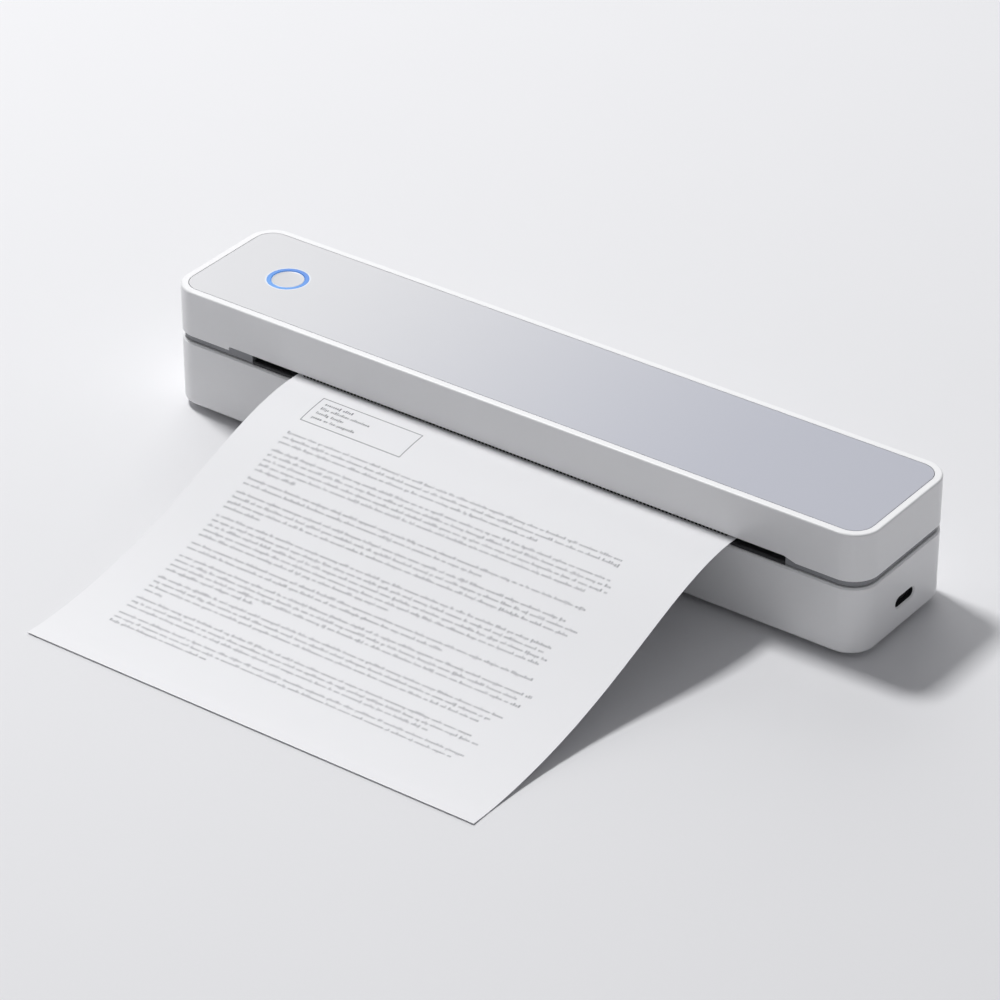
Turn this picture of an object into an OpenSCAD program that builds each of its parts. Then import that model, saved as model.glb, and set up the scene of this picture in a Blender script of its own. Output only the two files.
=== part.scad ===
// A4 portable thermal printer: a slim bar with a rear-hinged cover, a platen roller below the
// paper and a sprung print head above it. X runs along the bar, -Y is the paper exit, +Z is up.
// The origin is the middle of the bar's plan, on the surface that it stands on.

/* [Case] */
// Length of the body
body_l = 332; // [328:1:340]
// Depth of the body, front to back
body_d = 64; // [63:0.5:68]
// Corner radius in plan
corner_r = 11.5; // [10:0.5:13]
// Wall of the lower case and the cover
wall = 2.2; // [1.8:0.1:2.4]
// Floor of the lower case
floor_t = 2.2; // [1.8:0.1:2.6]
// Height of the lower case
case_h = 29.3; // [28.5:0.1:32]
// Height that the feet lift the case
foot_gap = 2.5; // [1.5:0.1:4]
// Radius round the bottom edge
bottom_edge_r = 1.8; // [1:0.1:2]
// Radius of a rubber foot
foot_r = 5; // [4:0.25:6]

/* [Cover] */
// Height of the cover
cover_h = 20.5; // [19.5:0.1:24]
// Open height between the case and the cover
parting = 3.2; // [3.1:0.05:3.5]
// Depth that the grey band in the parting is set back
band_inset = 1.2; // [0.8:0.1:1.3]
// Width of the cover's rim round the top plate
rim_w = 3.4; // [3:0.1:4]
// Thickness of the top plate
plate_t = 1.6; // [1.2:0.1:2]
// Thickness of the roof below the top plate
roof_t = 1.8; // [1.4:0.1:2.2]
// Gap round the top plate
plate_gap = 0.25; // [0.15:0.05:0.4]

/* [Power button] */
// Distance of the button's centre from the left end
button_in = 36.1; // [32:0.1:40]
// Outer radius of the light ring
ring_r = 8.7; // [8.3:0.1:9.2]
// Radius of the button
button_r = 6.8; // [6.4:0.1:7]
// Travel of the button
button_travel = 0.5; // [0.3:0.05:0.5]

/* [Paper] */
// Width of the sheet
sheet_w = 210; // [200:1:216]
// Thickness of the sheet
sheet_t = 0.2; // [0.1:0.05:0.3]
// Sideways place of the sheet's middle
sheet_x = 4.2; // [2:0.1:6]
// Height of the sheet's underside above the case's top edge
sheet_rise = 3.55; // [3.4:0.05:3.7]
// Distance of the sheet's far edge in front of the body's middle
sheet_reach = 198; // [180:1:220]
// Length of the paper slot
slot_l = 255.8; // [250:0.2:258]

/* [Drive] */
// Radius of the platen's rubber
platen_r = 6; // [5.5:0.1:6.2]
// Distance from the front face back to the platen's axis
platen_setback = 18; // [17:0.1:19]
// Rubber that passes the sheet on each side
platen_over = 3; // [1:0.5:4]
// Module of the gears
gear_m = 0.5; // [0.45:0.05:0.5]
// Teeth of the platen gear
platen_teeth = 24; // [22:2:24]
// Teeth of the idler gear
idler_teeth = 30; // [28:2:32]
// Teeth of the motor pinion
pinion_teeth = 15; // [14:1:16]
// Width of the gears
gear_w = 4; // [3:0.25:4]
// Radius of the motor
motor_r = 10; // [9:0.25:10.5]
// Length of the motor
motor_l = 20; // [16:0.5:24]

/* [Electronics] */
// Radius of a battery cell
cell_r = 9.25; // [8.5:0.05:9.5]
// Length of a battery cell
cell_l = 65; // [60:0.5:66]
// Thickness of the main board
board_t = 1.6; // [1.2:0.1:1.6]
// Height of the main board above the case's floor
board_rise = 6.5; // [6:0.1:8]
// Width of the charging port's opening in the case
port_w = 13; // [11:0.1:14]
// Height of the charging port's opening
port_h = 4.3; // [4:0.1:4.8]

/* [Hidden] */
$fn = 64;

// Colours
shell_white = [0.95, 0.95, 0.95];
plate_grey = [0.8, 0.81, 0.84];
frame_grey = [0.24, 0.25, 0.26];
liner_grey = [0.45, 0.46, 0.48];
steel = [0.72, 0.73, 0.75];
brass = [0.8, 0.68, 0.38];
aluminium = [0.82, 0.83, 0.85];
rubber_black = [0.1, 0.1, 0.11];
gear_white = [0.9, 0.89, 0.84];
board_green = [0.1, 0.35, 0.22];
part_black = [0.12, 0.12, 0.13];
ring_blue = [0.35, 0.6, 0.95];
cell_blue = [0.2, 0.42, 0.62];
lead_red = [0.7, 0.12, 0.1];
paper_white = [0.97, 0.97, 0.98];

// Clearances
eps = 0.01;
nip = 0.3;
run_gap = 0.05;
press_gap = 0.02;
slide_gap = 0.08;
loose = 0.15;

// Heights of the shells
floor_top = foot_gap + floor_t;
case_top = foot_gap + case_h;
cover_bot = case_top + parting;
top_z = cover_bot + cover_h;
plate_z = top_z - plate_t;
roof_z = plate_z - roof_t;
edge_r = min(bottom_edge_r, wall - 0.2);
case_chamfer = 0.6;
rim_edge_r = 0.8;

// Inner faces of the shells
in_x = body_l / 2 - wall;
in_y = body_d / 2 - wall;
front_y = -body_d / 2;

// Paper path
sheet_z = case_top + sheet_rise;
head_z = sheet_z + sheet_t + nip;
platen_y = front_y + platen_setback;
platen_z = sheet_z - nip - platen_r;
sheet_mid = sheet_z + sheet_t / 2;
sheet_tail_y = 6;
droop_y = front_y - 2;
droop_out = 45;
droop_in = 83;
droop_steps = 30;

// Slot, and the notch that lifts the cover's front edge over it
slot_x = 3.5;
slot_x0 = slot_x - slot_l / 2;
slot_x1 = slot_x + slot_l / 2;
notch_rise = 1.6;
notch_left = 11.3;
notch_slope = 5.3;
notch_x0 = slot_x0 - notch_left;
notch_x1 = slot_x1 - 0.1;
notch_z = cover_bot + notch_rise;
inlet_over = 11;
inlet_x0 = sheet_x - sheet_w / 2 - inlet_over;
inlet_x1 = sheet_x + sheet_w / 2 + inlet_over;

// Base deck
deck_t = 2;
deck_z = case_top - deck_t;
deck_gap = 0.15;
guide_z = sheet_z - 0.35;
guide_skin = 1.6;
guide_end = 2.4;
guide_side = 5.8;
sensor_half = 2.5;
sensor_y = 2.1;
sensor_d = 3.8;
sensor_pad = 7.2;
lip_y = front_y + band_inset;
lip_h = 1.4;

// Platen, its bearings and windows
rubber_l = sheet_w + 2 * platen_over;
rubber_x0 = sheet_x - rubber_l / 2;
rubber_x1 = sheet_x + rubber_l / 2;
shaft_r = 2.5;
bush_r = 4;
bush_flange_r = 4.8;
bush_flange_t = 0.8;
side_t = 1.2;
side_left_x = slot_x0 - 6.9;
side_right_x = slot_x1 + 2.6;
window_gap = 0.7;
window_end = 1.6;
shaft_window = 0.6;
gear_window = 0.6;
window_drop = 5;
gear_x = side_left_x - side_t - 1.5;
clip_t = 0.6;

// Gear train: the idler lies below and behind the platen gear, the pinion straight behind it
train_angle = -50;
platen_gear_r = platen_teeth * gear_m / 2;
idler_r = idler_teeth * gear_m / 2;
pinion_r = pinion_teeth * gear_m / 2;
idler_y = platen_y + (platen_gear_r + idler_r) * cos(train_angle);
idler_z = platen_z + (platen_gear_r + idler_r) * sin(train_angle);
pinion_y = idler_y + idler_r + pinion_r;
pinion_z = idler_z;
idler_phase = 180 + train_angle + 180 / idler_teeth;
idler_off = idler_phase - 360 / idler_teeth * floor(idler_phase / (360 / idler_teeth));
pinion_phase = 180 - idler_off * idler_teeth / pinion_teeth + 180 / pinion_teeth;
stud_r = 1.5;
motor_shaft_r = 1;
motor_boss_r = 3;

// Screws
screw_r = 1.2;
small_screw_r = 0.8;
screw_play = 0.2;
screw_head_r = 2.3;
screw_head_h = 1.2;
post_r = 4;
deck_boss_r = 3.2;
post_in = 4.6;
post_end_in = 13;
post_top = floor_top + 11.3;
case_screw_bite = 8;
liner_screw_bite = 9;
plate_screw_bite = 1.4;
head_sink = 3;
case_posts = [
    for (sx = [-1, 1], sy = [-1, 1]) [sx * (body_l / 2 - post_end_in), sy * (in_y - post_in)],
    [-44, -(in_y - post_in)], [52, -(in_y - post_in)]
];
liner_post_end = 14;
liner_post_in = 9.8;
liner_posts = [
    for (sx = [-1, 1], sy = [-1, 1]) [sx * (body_l / 2 - liner_post_end), sy * (in_y - liner_post_in)],
    [-20, in_y - liner_post_in], [40, in_y - liner_post_in]
];
liner_post_r = 3;

// Feet
foot_recess = 0.8;
foot_end_in = 30;
foot_side_in = 10;
foot_x = body_l / 2 - foot_end_in;
foot_y = body_d / 2 - foot_side_in;

// Hinge, in the open height at the back
hinge_in = 1.8;
hinge_x = body_l / 2 - 21;
hinge_y = body_d / 2 - hinge_in;
hinge_z = case_top + parting / 2;
knuckle_r = parting / 2 - 0.1;
knuckle_l = 12;
knuckle_mid = 6;
hinge_pin_r = 0.8;

// Cover liner
liner_bot = case_top + 0.5;
liner_t = 1.6;
panel_z = sheet_z + sheet_t + 1.45;
panel_t = 1.4;
panel_top = panel_z + panel_t;
rib_h = 0.9;

// Latch
latch_in = 20;
latch_x = body_l / 2 - latch_in;
latch_y = front_y + 6;
stud_post_r = 1.5;
stud_ball_r = 2;
stud_ball_z = case_top - 1.6;
latch_gap = 0.3;
leaf_t = 0.4;
clip_depth = 5.8;

// Tear bar
tear_pitch = 1.7;
tear_depth = 0.75;
tear_n = floor((sheet_w - 5) / tear_pitch);
tear_l = tear_n * tear_pitch;
tear_t = 0.4;
tear_skin = 0.4;
tear_tip_z = sheet_z + sheet_t + nip;
tear_top_z = notch_z + 3.4;

// Print head
ceramic_over = 3.2;
ceramic_l = sheet_w + 2 * ceramic_over;
ceramic_half_d = 4;
ceramic_t = 1.5;
head_end = 6;
head_l = ceramic_l + 2 * head_end;
head_x0 = sheet_x - head_l / 2;
head_x1 = sheet_x + head_l / 2;
head_half_d = 8.9;
sink_z = head_z + ceramic_t;
sink_t = 4;
sink_top = sink_z + sink_t;
fin_h = 3.65;
fin_t = 1.2;
channel_half = 5.6;
head_travel = 0.8;
bracket_t = 1.2;
bracket_gap = 0.4;
bracket_half_d = head_half_d + bracket_gap + bracket_t;
bracket_over = 6;
bracket_z = roof_z - bracket_t;
bracket_lip = 4.9;
shoulder_r = 1.5;
shoulder_in = 2.5;
shoulder_head_r = 2.6;
shoulder_head_h = 0.85;
spring_xs = [-80, -24, 32, 88];
spring_r = 2.2;
spring_wire = 0.28;
spring_turns = 5;
spring_seat = 0.05;
head_board_in = 14;
head_board_half = 5;
head_board_t = 1;
head_socket_d = 4.4;
head_socket_h = 2;

// Power button
button_x = -body_l / 2 + button_in;
ring_in_r = button_r + 0.18;
ring_sleeve_r = ring_in_r + 0.5;
ring_fit = 0.05;
ring_sleeve_z = roof_z - 1.2;
button_drop = 0.1;
dish_r = 60;
dish_depth = 0.45;
button_flange_r = ring_in_r + 0.35;
button_flange_t = 0.8;
button_flange_z = ring_sleeve_z - nip - button_flange_t;
plunger_r = 1.5;
plunger_l = 1.6;
switch_side = 6.2;
switch_h = plunger_l;
button_board_t = 1;
button_board_l = 27;
button_board_d = 20;
switch_z = button_flange_z - 0.8 - switch_h;
button_board_z = switch_z - button_board_t;
button_post_x = 10.5;
button_post_y = 6;
button_post_r = 2.2;

// Battery, midway between the motor's end and the main board
board_x0 = 44;
cell_back = 4.55;
cell_rise = 0.8;
cell_y = in_y - cell_r - cell_back;
cell_z = floor_top + cell_rise + cell_r;
cell_gap = 0.4;
pack_shift = 0.85;
pack_l = 2 * cell_l + cell_gap;
pack_x0 = (side_left_x + motor_l + board_x0 - pack_l) / 2 + pack_shift;
cradle_end = 1.6;
cradle_h = 5.3;
tab_half = 3;
tab_t = 0.3;

// Main board
board_x1 = in_x - 1.3;
board_y0 = -18;
board_y1 = in_y - post_in - post_r - 0.4;
board_z = floor_top + board_rise;
board_top = board_z + board_t;
board_post_r = 3;
board_hole_in = 4;
usb_w = 8.94;
usb_h = 3.26;
usb_l = 7.35;
usb_skin = 0.3;
port_z = board_top + usb_h / 2;
port_rim = 0.4;
tongue_w = 6.7;
tongue_t = 0.7;
socket_rows = [board_y0 + 10, board_y1 - 10.8];
socket_in = 2.3;
socket_l = 4.7;
socket_w = 6;
socket_h = 4.2;
socket_skin = 0.8;
// Chips as their corner from the board's corner, their length, width and height
chips = [
    [52, 20, 10, 10, 1.2], [36, 22, 8, 6, 1], [68, 15, 6, 5, 1.5], [16, 15, 7, 7, 3], [60, 3, 18, 10, 2.2]
];
can_xs = [28, 36, 44];
can_in = 7;
can_r = 3;
can_h = 7;
small_xs = [16 : 3 : 46];
small_in = 7.8;
small_l = 1.6;
small_w = 0.9;
small_h = 0.6;

// Head ribbon, in two lengths that meet at the hinge axis
ribbon_x0 = inlet_x1 + 0.8;
ribbon_w = 14;
ribbon_t = 0.3;
ribbon_slot = 0.5;
connector_y = board_y1 - 5.8;
connector_d = 5;
connector_h = 2.2;

// Rounded rectangle about the origin
module rrect(l, d, r) {
    square([l - 2 * r, d], center = true);
    square([l, d - 2 * r], center = true);
    for (sx = [-1, 1], sy = [-1, 1])
        translate([sx * (l / 2 - r), sy * (d / 2 - r)]) circle(r);
}

// Sweeps a section round a rounded rectangle: x = 0 is the outer face, y is the height
module ring_sweep(l, d, r) {
    for (a = [0 : 90 : 270]) {
        sx = (a == 0 || a == 270) ? 1 : -1;
        sy = a < 180 ? 1 : -1;
        translate([sx * (l / 2 - r), sy * (d / 2 - r), 0])
            rotate([0, 0, a]) rotate_extrude(angle = 90) translate([r, 0]) children();
    }
    for (a = [0, 180])
        rotate([0, 0, a]) translate([l / 2, 0, 0])
            rotate([90, 0, 0]) linear_extrude(d - 2 * r, center = true) children();
    for (a = [90, 270])
        rotate([0, 0, a]) translate([d / 2, 0, 0])
            rotate([90, 0, 0]) linear_extrude(l - 2 * r, center = true) children();
}

// Extrudes a section drawn in Y and Z along X, from x0 to x1
module along_x(x0, x1) {
    translate([x0, 0, 0]) rotate([90, 0, 90]) linear_extrude(x1 - x0) children();
}

// Box from its lowest and highest corners
module box(lo, hi) {
    translate(lo) cube(hi - lo);
}

// Cylinder along X
module rod_x(x0, x1, y, z, r) {
    translate([x0, y, z]) rotate([0, 90, 0]) cylinder(r = r, h = x1 - x0);
}

// Flat slot outline with round ends, w wide and h high
module pill(w, h) {
    square([w - h, h], center = true);
    for (s = [-1, 1]) translate([s * (w - h) / 2, 0]) circle(h / 2);
}

// Pan head screw that points up, with its head's underside at the origin
module pan_screw(length, r = screw_r, head_r = screw_head_r, head_h = screw_head_h) {
    difference() {
        union() {
            translate([0, 0, -eps]) cylinder(r = r, h = length + eps);
            translate([0, 0, -head_h]) cylinder(r = head_r, h = head_h);
        }
        for (a = [0, 90])
            rotate([0, 0, a]) translate([0, 0, -head_h]) cube([head_r, 0.5, head_h], center = true);
    }
}

// Outline of a thin band of thickness t along points p
function unit(v) = v / norm(v);
function side(v) = [-v[1], v[0]];
function band_normal(p, i) =
    let (a = unit(p[min(i + 1, len(p) - 1)] - p[min(i, len(p) - 2)]),
         b = unit(p[max(i, 1)] - p[max(i - 1, 0)]),
         n = unit(side(a + b)))
    n / (n * side(a));
function band(p, t) = concat(
    [for (i = [0 : len(p) - 1]) p[i] + band_normal(p, i) * t / 2],
    [for (i = [len(p) - 1 : -1 : 0]) p[i] - band_normal(p, i) * t / 2]);

// Round tube of radius r along points p, as one closed mesh with n sides
function tube_dir(p, i) = unit(p[min(i + 1, len(p) - 1)] - p[max(i - 1, 0)]);
function tube_ring(p, i, r, n) =
    let (d = tube_dir(p, i), u = unit(cross(d, [0.05, 0.1, 1])), v = cross(u, d))
    [for (k = [0 : n - 1]) p[i] + r * (cos(k * 360 / n) * u + sin(k * 360 / n) * v)];
module tube(p, r, n = 8) {
    rings = len(p);
    polyhedron(
        points = [for (i = [0 : rings - 1]) each tube_ring(p, i, r, n)],
        faces = concat(
            [[for (k = [0 : n - 1]) k]],
            [for (i = [0 : rings - 2], k = [0 : n - 1])
                let (a = i * n + k, b = i * n + (k + 1) % n) each [[a, a + n, b], [b, a + n, b + n]]],
            [[for (k = [n - 1 : -1 : 0]) (rings - 1) * n + k]]));
}

// Gear outline with involute flanks, one tooth centred on the X axis
tooth_add = 0.9;
tooth_ded = 1.2;
tooth_play = 0.12;
pressure_angle = 20;
function involute(a) = tan(a) * 180 / PI - a;
function gear_points(n) =
    let (r = n * gear_m / 2, base = r * cos(pressure_angle),
         tip = r + tooth_add * gear_m, root = r - tooth_ded * gear_m,
         half = 90 / n - tooth_play / 2 / r * 180 / PI,
         start = max(root, base),
         rad = [start, (start + r) / 2, r, (r + tip) / 2, tip],
         th = [for (q = rad) half + involute(pressure_angle) - involute(acos(min(1, base / q)))])
    [for (k = [0 : n - 1]) let (c = k * 360 / n) each concat(
        [root * [cos(c - th[0]), sin(c - th[0])]],
        [for (i = [0 : 4]) rad[i] * [cos(c - th[i]), sin(c - th[i])]],
        [for (i = [4 : -1 : 0]) rad[i] * [cos(c + th[i]), sin(c + th[i])]],
        [root * [cos(c + th[0]), sin(c + th[0])]])];
module gear(n, y, z, phase, bore) {
    along_x(gear_x - gear_w, gear_x) translate([y, z]) difference() {
        rotate(phase) polygon(gear_points(n));
        circle(bore);
    }
}

// Section of the lower case's wall, with a round bottom edge and a small top chamfer
module case_section() {
    difference() {
        translate([-wall, foot_gap]) square([wall, case_h]);
        translate([-edge_r, foot_gap - eps]) difference() {
            square([edge_r + 1, edge_r + eps]);
            translate([0, edge_r + eps]) circle(edge_r);
        }
        polygon([[-case_chamfer, case_top], [0, case_top - case_chamfer], [1, case_top - case_chamfer],
                 [1, case_top + 1], [-case_chamfer, case_top + 1]]);
    }
}

module lower_case() {
    color(shell_white) difference() {
        union() {
            ring_sweep(body_l, body_d, corner_r) case_section();
            translate([0, 0, foot_gap]) linear_extrude(floor_t)
                rrect(body_l - 2 * edge_r, body_d - 2 * edge_r, corner_r - edge_r);
            for (p = case_posts)
                translate([p[0], p[1], floor_top - eps]) cylinder(r = post_r, h = post_top - floor_top + eps);
            for (p = board_holes())
                translate([p[0], p[1], floor_top - eps]) cylinder(r = board_post_r, h = board_rise + eps);
        }
        for (p = case_posts) translate([p[0], p[1], 0]) {
            cylinder(r = screw_head_r + 0.4, h = foot_gap + head_sink);
            cylinder(r = screw_r + 0.25, h = post_top + 1);
        }
        for (p = board_holes())
            translate([p[0], p[1], floor_top]) cylinder(r = screw_r + press_gap, h = board_rise + 1);
        for (sx = [-1, 1], sy = [-1, 1])
            translate([sx * foot_x, sy * foot_y, 0]) cylinder(r = foot_r + 0.1, h = foot_gap + foot_recess);
        along_x(in_x - 1, body_l / 2 + 1) translate([0, port_z]) pill(port_w, port_h);
        port_chamfer();
    }
}

// Small bevel round the charging port's mouth
module port_chamfer() {
    half = (port_w - port_h) / 2;
    translate([body_l / 2, 0, port_z]) rotate([0, 90, 0]) {
        for (s = [-1, 1])
            translate([0, s * half, 0])
                rotate_extrude() polygon([[port_h / 2 - 0.1, -port_rim], [port_h / 2, -port_rim],
                    [port_h / 2 + port_rim + 0.1, 0.1], [port_h / 2 - 0.1, 0.1]]);
        for (s = [0, 180])
            rotate([0, 0, s]) translate([0, -half, 0]) rotate([-90, 0, 0]) linear_extrude(2 * half)
                polygon([[port_h / 2 - 0.1, port_rim], [port_h / 2, port_rim],
                    [port_h / 2 + port_rim + 0.1, -0.1], [port_h / 2 - 0.1, -0.1]]);
    }
}

module rubber_feet() {
    color(rubber_black)
        for (sx = [-1, 1], sy = [-1, 1])
            translate([sx * foot_x, sy * foot_y, 0]) {
                cylinder(r = foot_r, h = foot_gap + foot_recess);
            }
}

module case_screws() {
    color(steel)
        for (p = case_posts) translate([p[0], p[1], foot_gap + head_sink])
            pan_screw(post_top - foot_gap - head_sink + case_screw_bite);
}

// Windows in the deck for the platen, its shaft, bushes and gear
module deck_windows() {
    half = platen_r + window_gap;
    gear_half = platen_gear_r + gear_m + gear_window;
    box([rubber_x0 - window_end, platen_y - half, deck_z - window_drop],
        [rubber_x1 + window_end, platen_y + half, guide_z + 1]);
    box([side_left_x, platen_y - shaft_r - shaft_window, deck_z - window_drop],
        [side_right_x, platen_y + shaft_r + shaft_window, guide_z + 1]);
    box([gear_x - gear_w - 2, platen_y - gear_half, deck_z - window_drop],
        [side_left_x + bush_flange_t + 0.4, platen_y + gear_half, guide_z + 1]);
    box([side_right_x - bush_flange_t - 0.3, platen_y - gear_half, deck_z - window_drop],
        [side_right_x + side_t + 2.4, platen_y + gear_half, guide_z + 1]);
}

// Upper outline of the paper guide, in Y and Z
module guide_section() {
    lip_z = case_top + lip_h;
    polygon([[-in_y + 0.5, deck_z + 1], [-in_y + 0.5, case_top], [lip_y, case_top], [lip_y, lip_z - 0.3],
             [lip_y + 0.3, lip_z], [lip_y + 3.2, lip_z], [lip_y + 5.4, guide_z],
             [in_y - 5.3, guide_z], [in_y - 2.2, lip_z + 0.2], [in_y - 2.2, deck_z + 1]]);
}

module rear_lip_section() {
    lip_z = case_top + lip_h;
    polygon([[in_y - 3, deck_z + 1], [in_y - 0.5, deck_z + 1], [in_y - 0.5, case_top], [-lip_y, case_top],
             [-lip_y, lip_z - 0.3], [-lip_y - 0.3, lip_z], [in_y - 3, lip_z + 0.3]]);
}

// Hollow below the paper guide
module guide_hollow() {
    box([slot_x0 + guide_end, -in_y + guide_side, deck_z - 1],
        [slot_x1 - guide_end, in_y - guide_side, guide_z - guide_skin]);
}

module base_deck() {
    color(frame_grey) difference() {
        union() {
            translate([0, 0, deck_z]) linear_extrude(deck_t)
                rrect(2 * (in_x - deck_gap), 2 * (in_y - deck_gap), corner_r - wall - deck_gap);
            difference() {
                union() {
                    along_x(slot_x0 + 0.3, slot_x1 - 0.3) guide_section();
                    along_x(inlet_x0 + 0.3, inlet_x1 - 0.3) rear_lip_section();
                }
                guide_hollow();
            }
            for (p = case_posts)
                translate([p[0], p[1], post_top]) cylinder(r = deck_boss_r, h = deck_z - post_top + 0.5);
            for (s = [-1, 1]) base_knuckles(s * hinge_x);
        }
        guide_hollow();
        deck_windows();
        for (p = case_posts)
            translate([p[0], p[1], post_top - 1]) cylinder(r = screw_r + press_gap, h = 11);
        for (s = [-1, 1]) {
            translate([s * latch_x, latch_y, deck_z - 1]) cylinder(r = stud_ball_r + 0.7, h = deck_t + 2);
            rod_x(s * hinge_x - knuckle_l, s * hinge_x + knuckle_l, hinge_y, hinge_z,
                  hinge_pin_r + press_gap);
        }
        for (p = plate_screw_places())
            translate([p[0], p[1], deck_z - 1]) cylinder(r = screw_r + press_gap, h = 2.5);
        box([ribbon_x0 - ribbon_slot, in_y - 2, deck_z - 1],
            [ribbon_x0 + ribbon_w + ribbon_slot, in_y + 1, case_top + 1]);
        box([sheet_x - sensor_half - 0.2, sensor_y - sensor_d / 2 - 0.2, deck_z],
            [sheet_x + sensor_half + 0.2, sensor_y + sensor_d / 2 + 0.2, guide_z + 1]);
    }
}

// Two outer hinge knuckles and the blocks that join them to the deck
module base_knuckles(x) {
    wing = (knuckle_l - knuckle_mid) / 2;
    for (s = [-1, 1])
        translate([x + s * (knuckle_l - wing) / 2 - wing / 2, 0, 0]) {
            rod_x(0, wing, hinge_y, hinge_z, knuckle_r);
            box([0, in_y - 2.3, case_top - 0.5], [wing, in_y - deck_gap, hinge_z]);
            box([0, in_y - 0.5, hinge_z - knuckle_r], [wing, hinge_y, hinge_z]);
        }
}

module hinge_pins() {
    color(steel)
        for (s = [-1, 1])
            rod_x(s * hinge_x - knuckle_l / 2, s * hinge_x + knuckle_l / 2, hinge_y, hinge_z, hinge_pin_r);
}

// Left side plate: carries the platen's bush, the idler's stud and the motor
module left_side_plate() {
    lug = bush_r + 2;
    color(steel) difference() {
        union() {
            along_x(side_left_x - side_t, side_left_x) {
                translate([platen_y - lug, platen_z - 12]) square([2 * lug, 12 + lug - 1]);
                translate([platen_y - lug, pinion_z - motor_r - 0.6])
                    square([pinion_y + motor_r + 2 - platen_y + lug, deck_z - pinion_z + motor_r + 0.6]);
            }
            box([side_left_x - 13, pinion_y - 2, deck_z - side_t],
                [side_left_x - side_t + eps, pinion_y + motor_r + 2, deck_z]);
        }
        rod_x(side_left_x - 2 * side_t, side_left_x + 1, platen_y, platen_z, bush_r);
        rod_x(side_left_x - 2 * side_t, side_left_x + 1, idler_y, idler_z, stud_r + press_gap);
        rod_x(side_left_x - 2 * side_t, side_left_x + 1, pinion_y, pinion_z, motor_boss_r + run_gap);
        for (s = [-1, 1])
            rod_x(side_left_x - 2 * side_t, side_left_x + 1, pinion_y, pinion_z + s * (motor_r - 2.5),
                  small_screw_r + press_gap);
        for (p = left_plate_screws())
            translate([p[0], p[1], deck_z - 2 * side_t]) cylinder(r = screw_r + screw_play, h = 3 * side_t);
    }
}

// Right side plate: carries the platen's other bush
module right_side_plate() {
    lug = bush_r + 2;
    tail_l = 20;
    tail_h = 8;
    ear_l = 10;
    color(steel) difference() {
        union() {
            along_x(side_right_x, side_right_x + side_t) {
                translate([platen_y - lug, deck_z - tail_h])
                    square([2 * lug, platen_z + lug - 1 - deck_z + tail_h]);
                translate([platen_y, deck_z - tail_h]) square([tail_l, tail_h]);
            }
            box([side_right_x + side_t - eps, platen_y + tail_l - ear_l, deck_z - side_t],
                [side_right_x + 12, platen_y + tail_l, deck_z]);
        }
        rod_x(side_right_x - 1, side_right_x + 2 * side_t, platen_y, platen_z, bush_r);
        for (p = right_plate_screws())
            translate([p[0], p[1], deck_z - 2 * side_t]) cylinder(r = screw_r + screw_play, h = 3 * side_t);
    }
}
function left_plate_screws() = [for (y = [1, 9]) [side_left_x - 9.5, pinion_y + y]];
function right_plate_screws() = [for (y = [12.8, 17.6]) [side_right_x + 7.5, platen_y + y]];
function plate_screw_places() = concat(left_plate_screws(), right_plate_screws());

module plate_screws() {
    color(steel)
        for (p = plate_screw_places())
            translate([p[0], p[1], deck_z - side_t]) pan_screw(side_t + plate_screw_bite, head_r = 2);
}

// Flanged bush with its flange on the side that faces the rubber
module bush(x, out) {
    difference() {
        union() {
            rod_x(min(x, x + out * (side_t + 1)), max(x, x + out * (side_t + 1)), platen_y, platen_z,
                  bush_r - press_gap);
            rod_x(min(x, x - out * bush_flange_t), max(x, x - out * bush_flange_t), platen_y, platen_z,
                  bush_flange_r);
        }
        rod_x(x - 4, x + 4, platen_y, platen_z, shaft_r + run_gap);
    }
}

module platen_bushes() {
    color(brass) {
        bush(side_left_x, -1);
        bush(side_right_x, 1);
    }
}

module idler_stud() {
    color(steel) {
        rod_x(gear_x - gear_w - 1.2, side_left_x, idler_y, idler_z, stud_r);
        rod_x(gear_x + 0.1, side_left_x - side_t, idler_y, idler_z, stud_r + 0.8);
    }
}

// Split retaining clip round a shaft that runs along X
module e_clip(x, y, z, r_shaft) {
    difference() {
        rod_x(x, x + clip_t, y, z, r_shaft + 1.3);
        rod_x(x - 1, x + clip_t + 1, y, z, r_shaft + press_gap);
        box([x - 1, y - 0.5, z], [x + clip_t + 1, y + 0.5, z + r_shaft + 2]);
    }
}

module idler_clip() {
    color(steel) e_clip(gear_x - gear_w - 0.1 - clip_t, idler_y, idler_z, stud_r);
}

module motor_can() {
    color(aluminium) difference() {
        union() {
            rod_x(side_left_x, side_left_x + motor_l, pinion_y, pinion_z, motor_r);
            rod_x(side_left_x - side_t, side_left_x + 1, pinion_y, pinion_z, motor_boss_r);
        }
        rod_x(side_left_x - 3, side_left_x + 8, pinion_y, pinion_z, motor_shaft_r + run_gap);
        for (s = [-1, 1])
            rod_x(side_left_x - 1, side_left_x + 3, pinion_y, pinion_z + s * (motor_r - 2.5),
                  small_screw_r + press_gap);
    }
}

module motor_screws() {
    color(steel)
        for (s = [-1, 1])
            translate([side_left_x - side_t, pinion_y, pinion_z + s * (motor_r - 2.5)]) rotate([0, 90, 0])
                pan_screw(side_t + 2.6, r = small_screw_r, head_r = 1.5, head_h = 0.8);
}

module battery_cradle() {
    color(part_black) difference() {
        box([pack_x0 - cradle_end, cell_y - cell_r - 0.8, floor_top],
            [pack_x0 + pack_l + cradle_end, cell_y + cell_r + 0.8, floor_top + cradle_h]);
        rod_x(pack_x0, pack_x0 + pack_l, cell_y, cell_z, cell_r + run_gap);
    }
}

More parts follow.
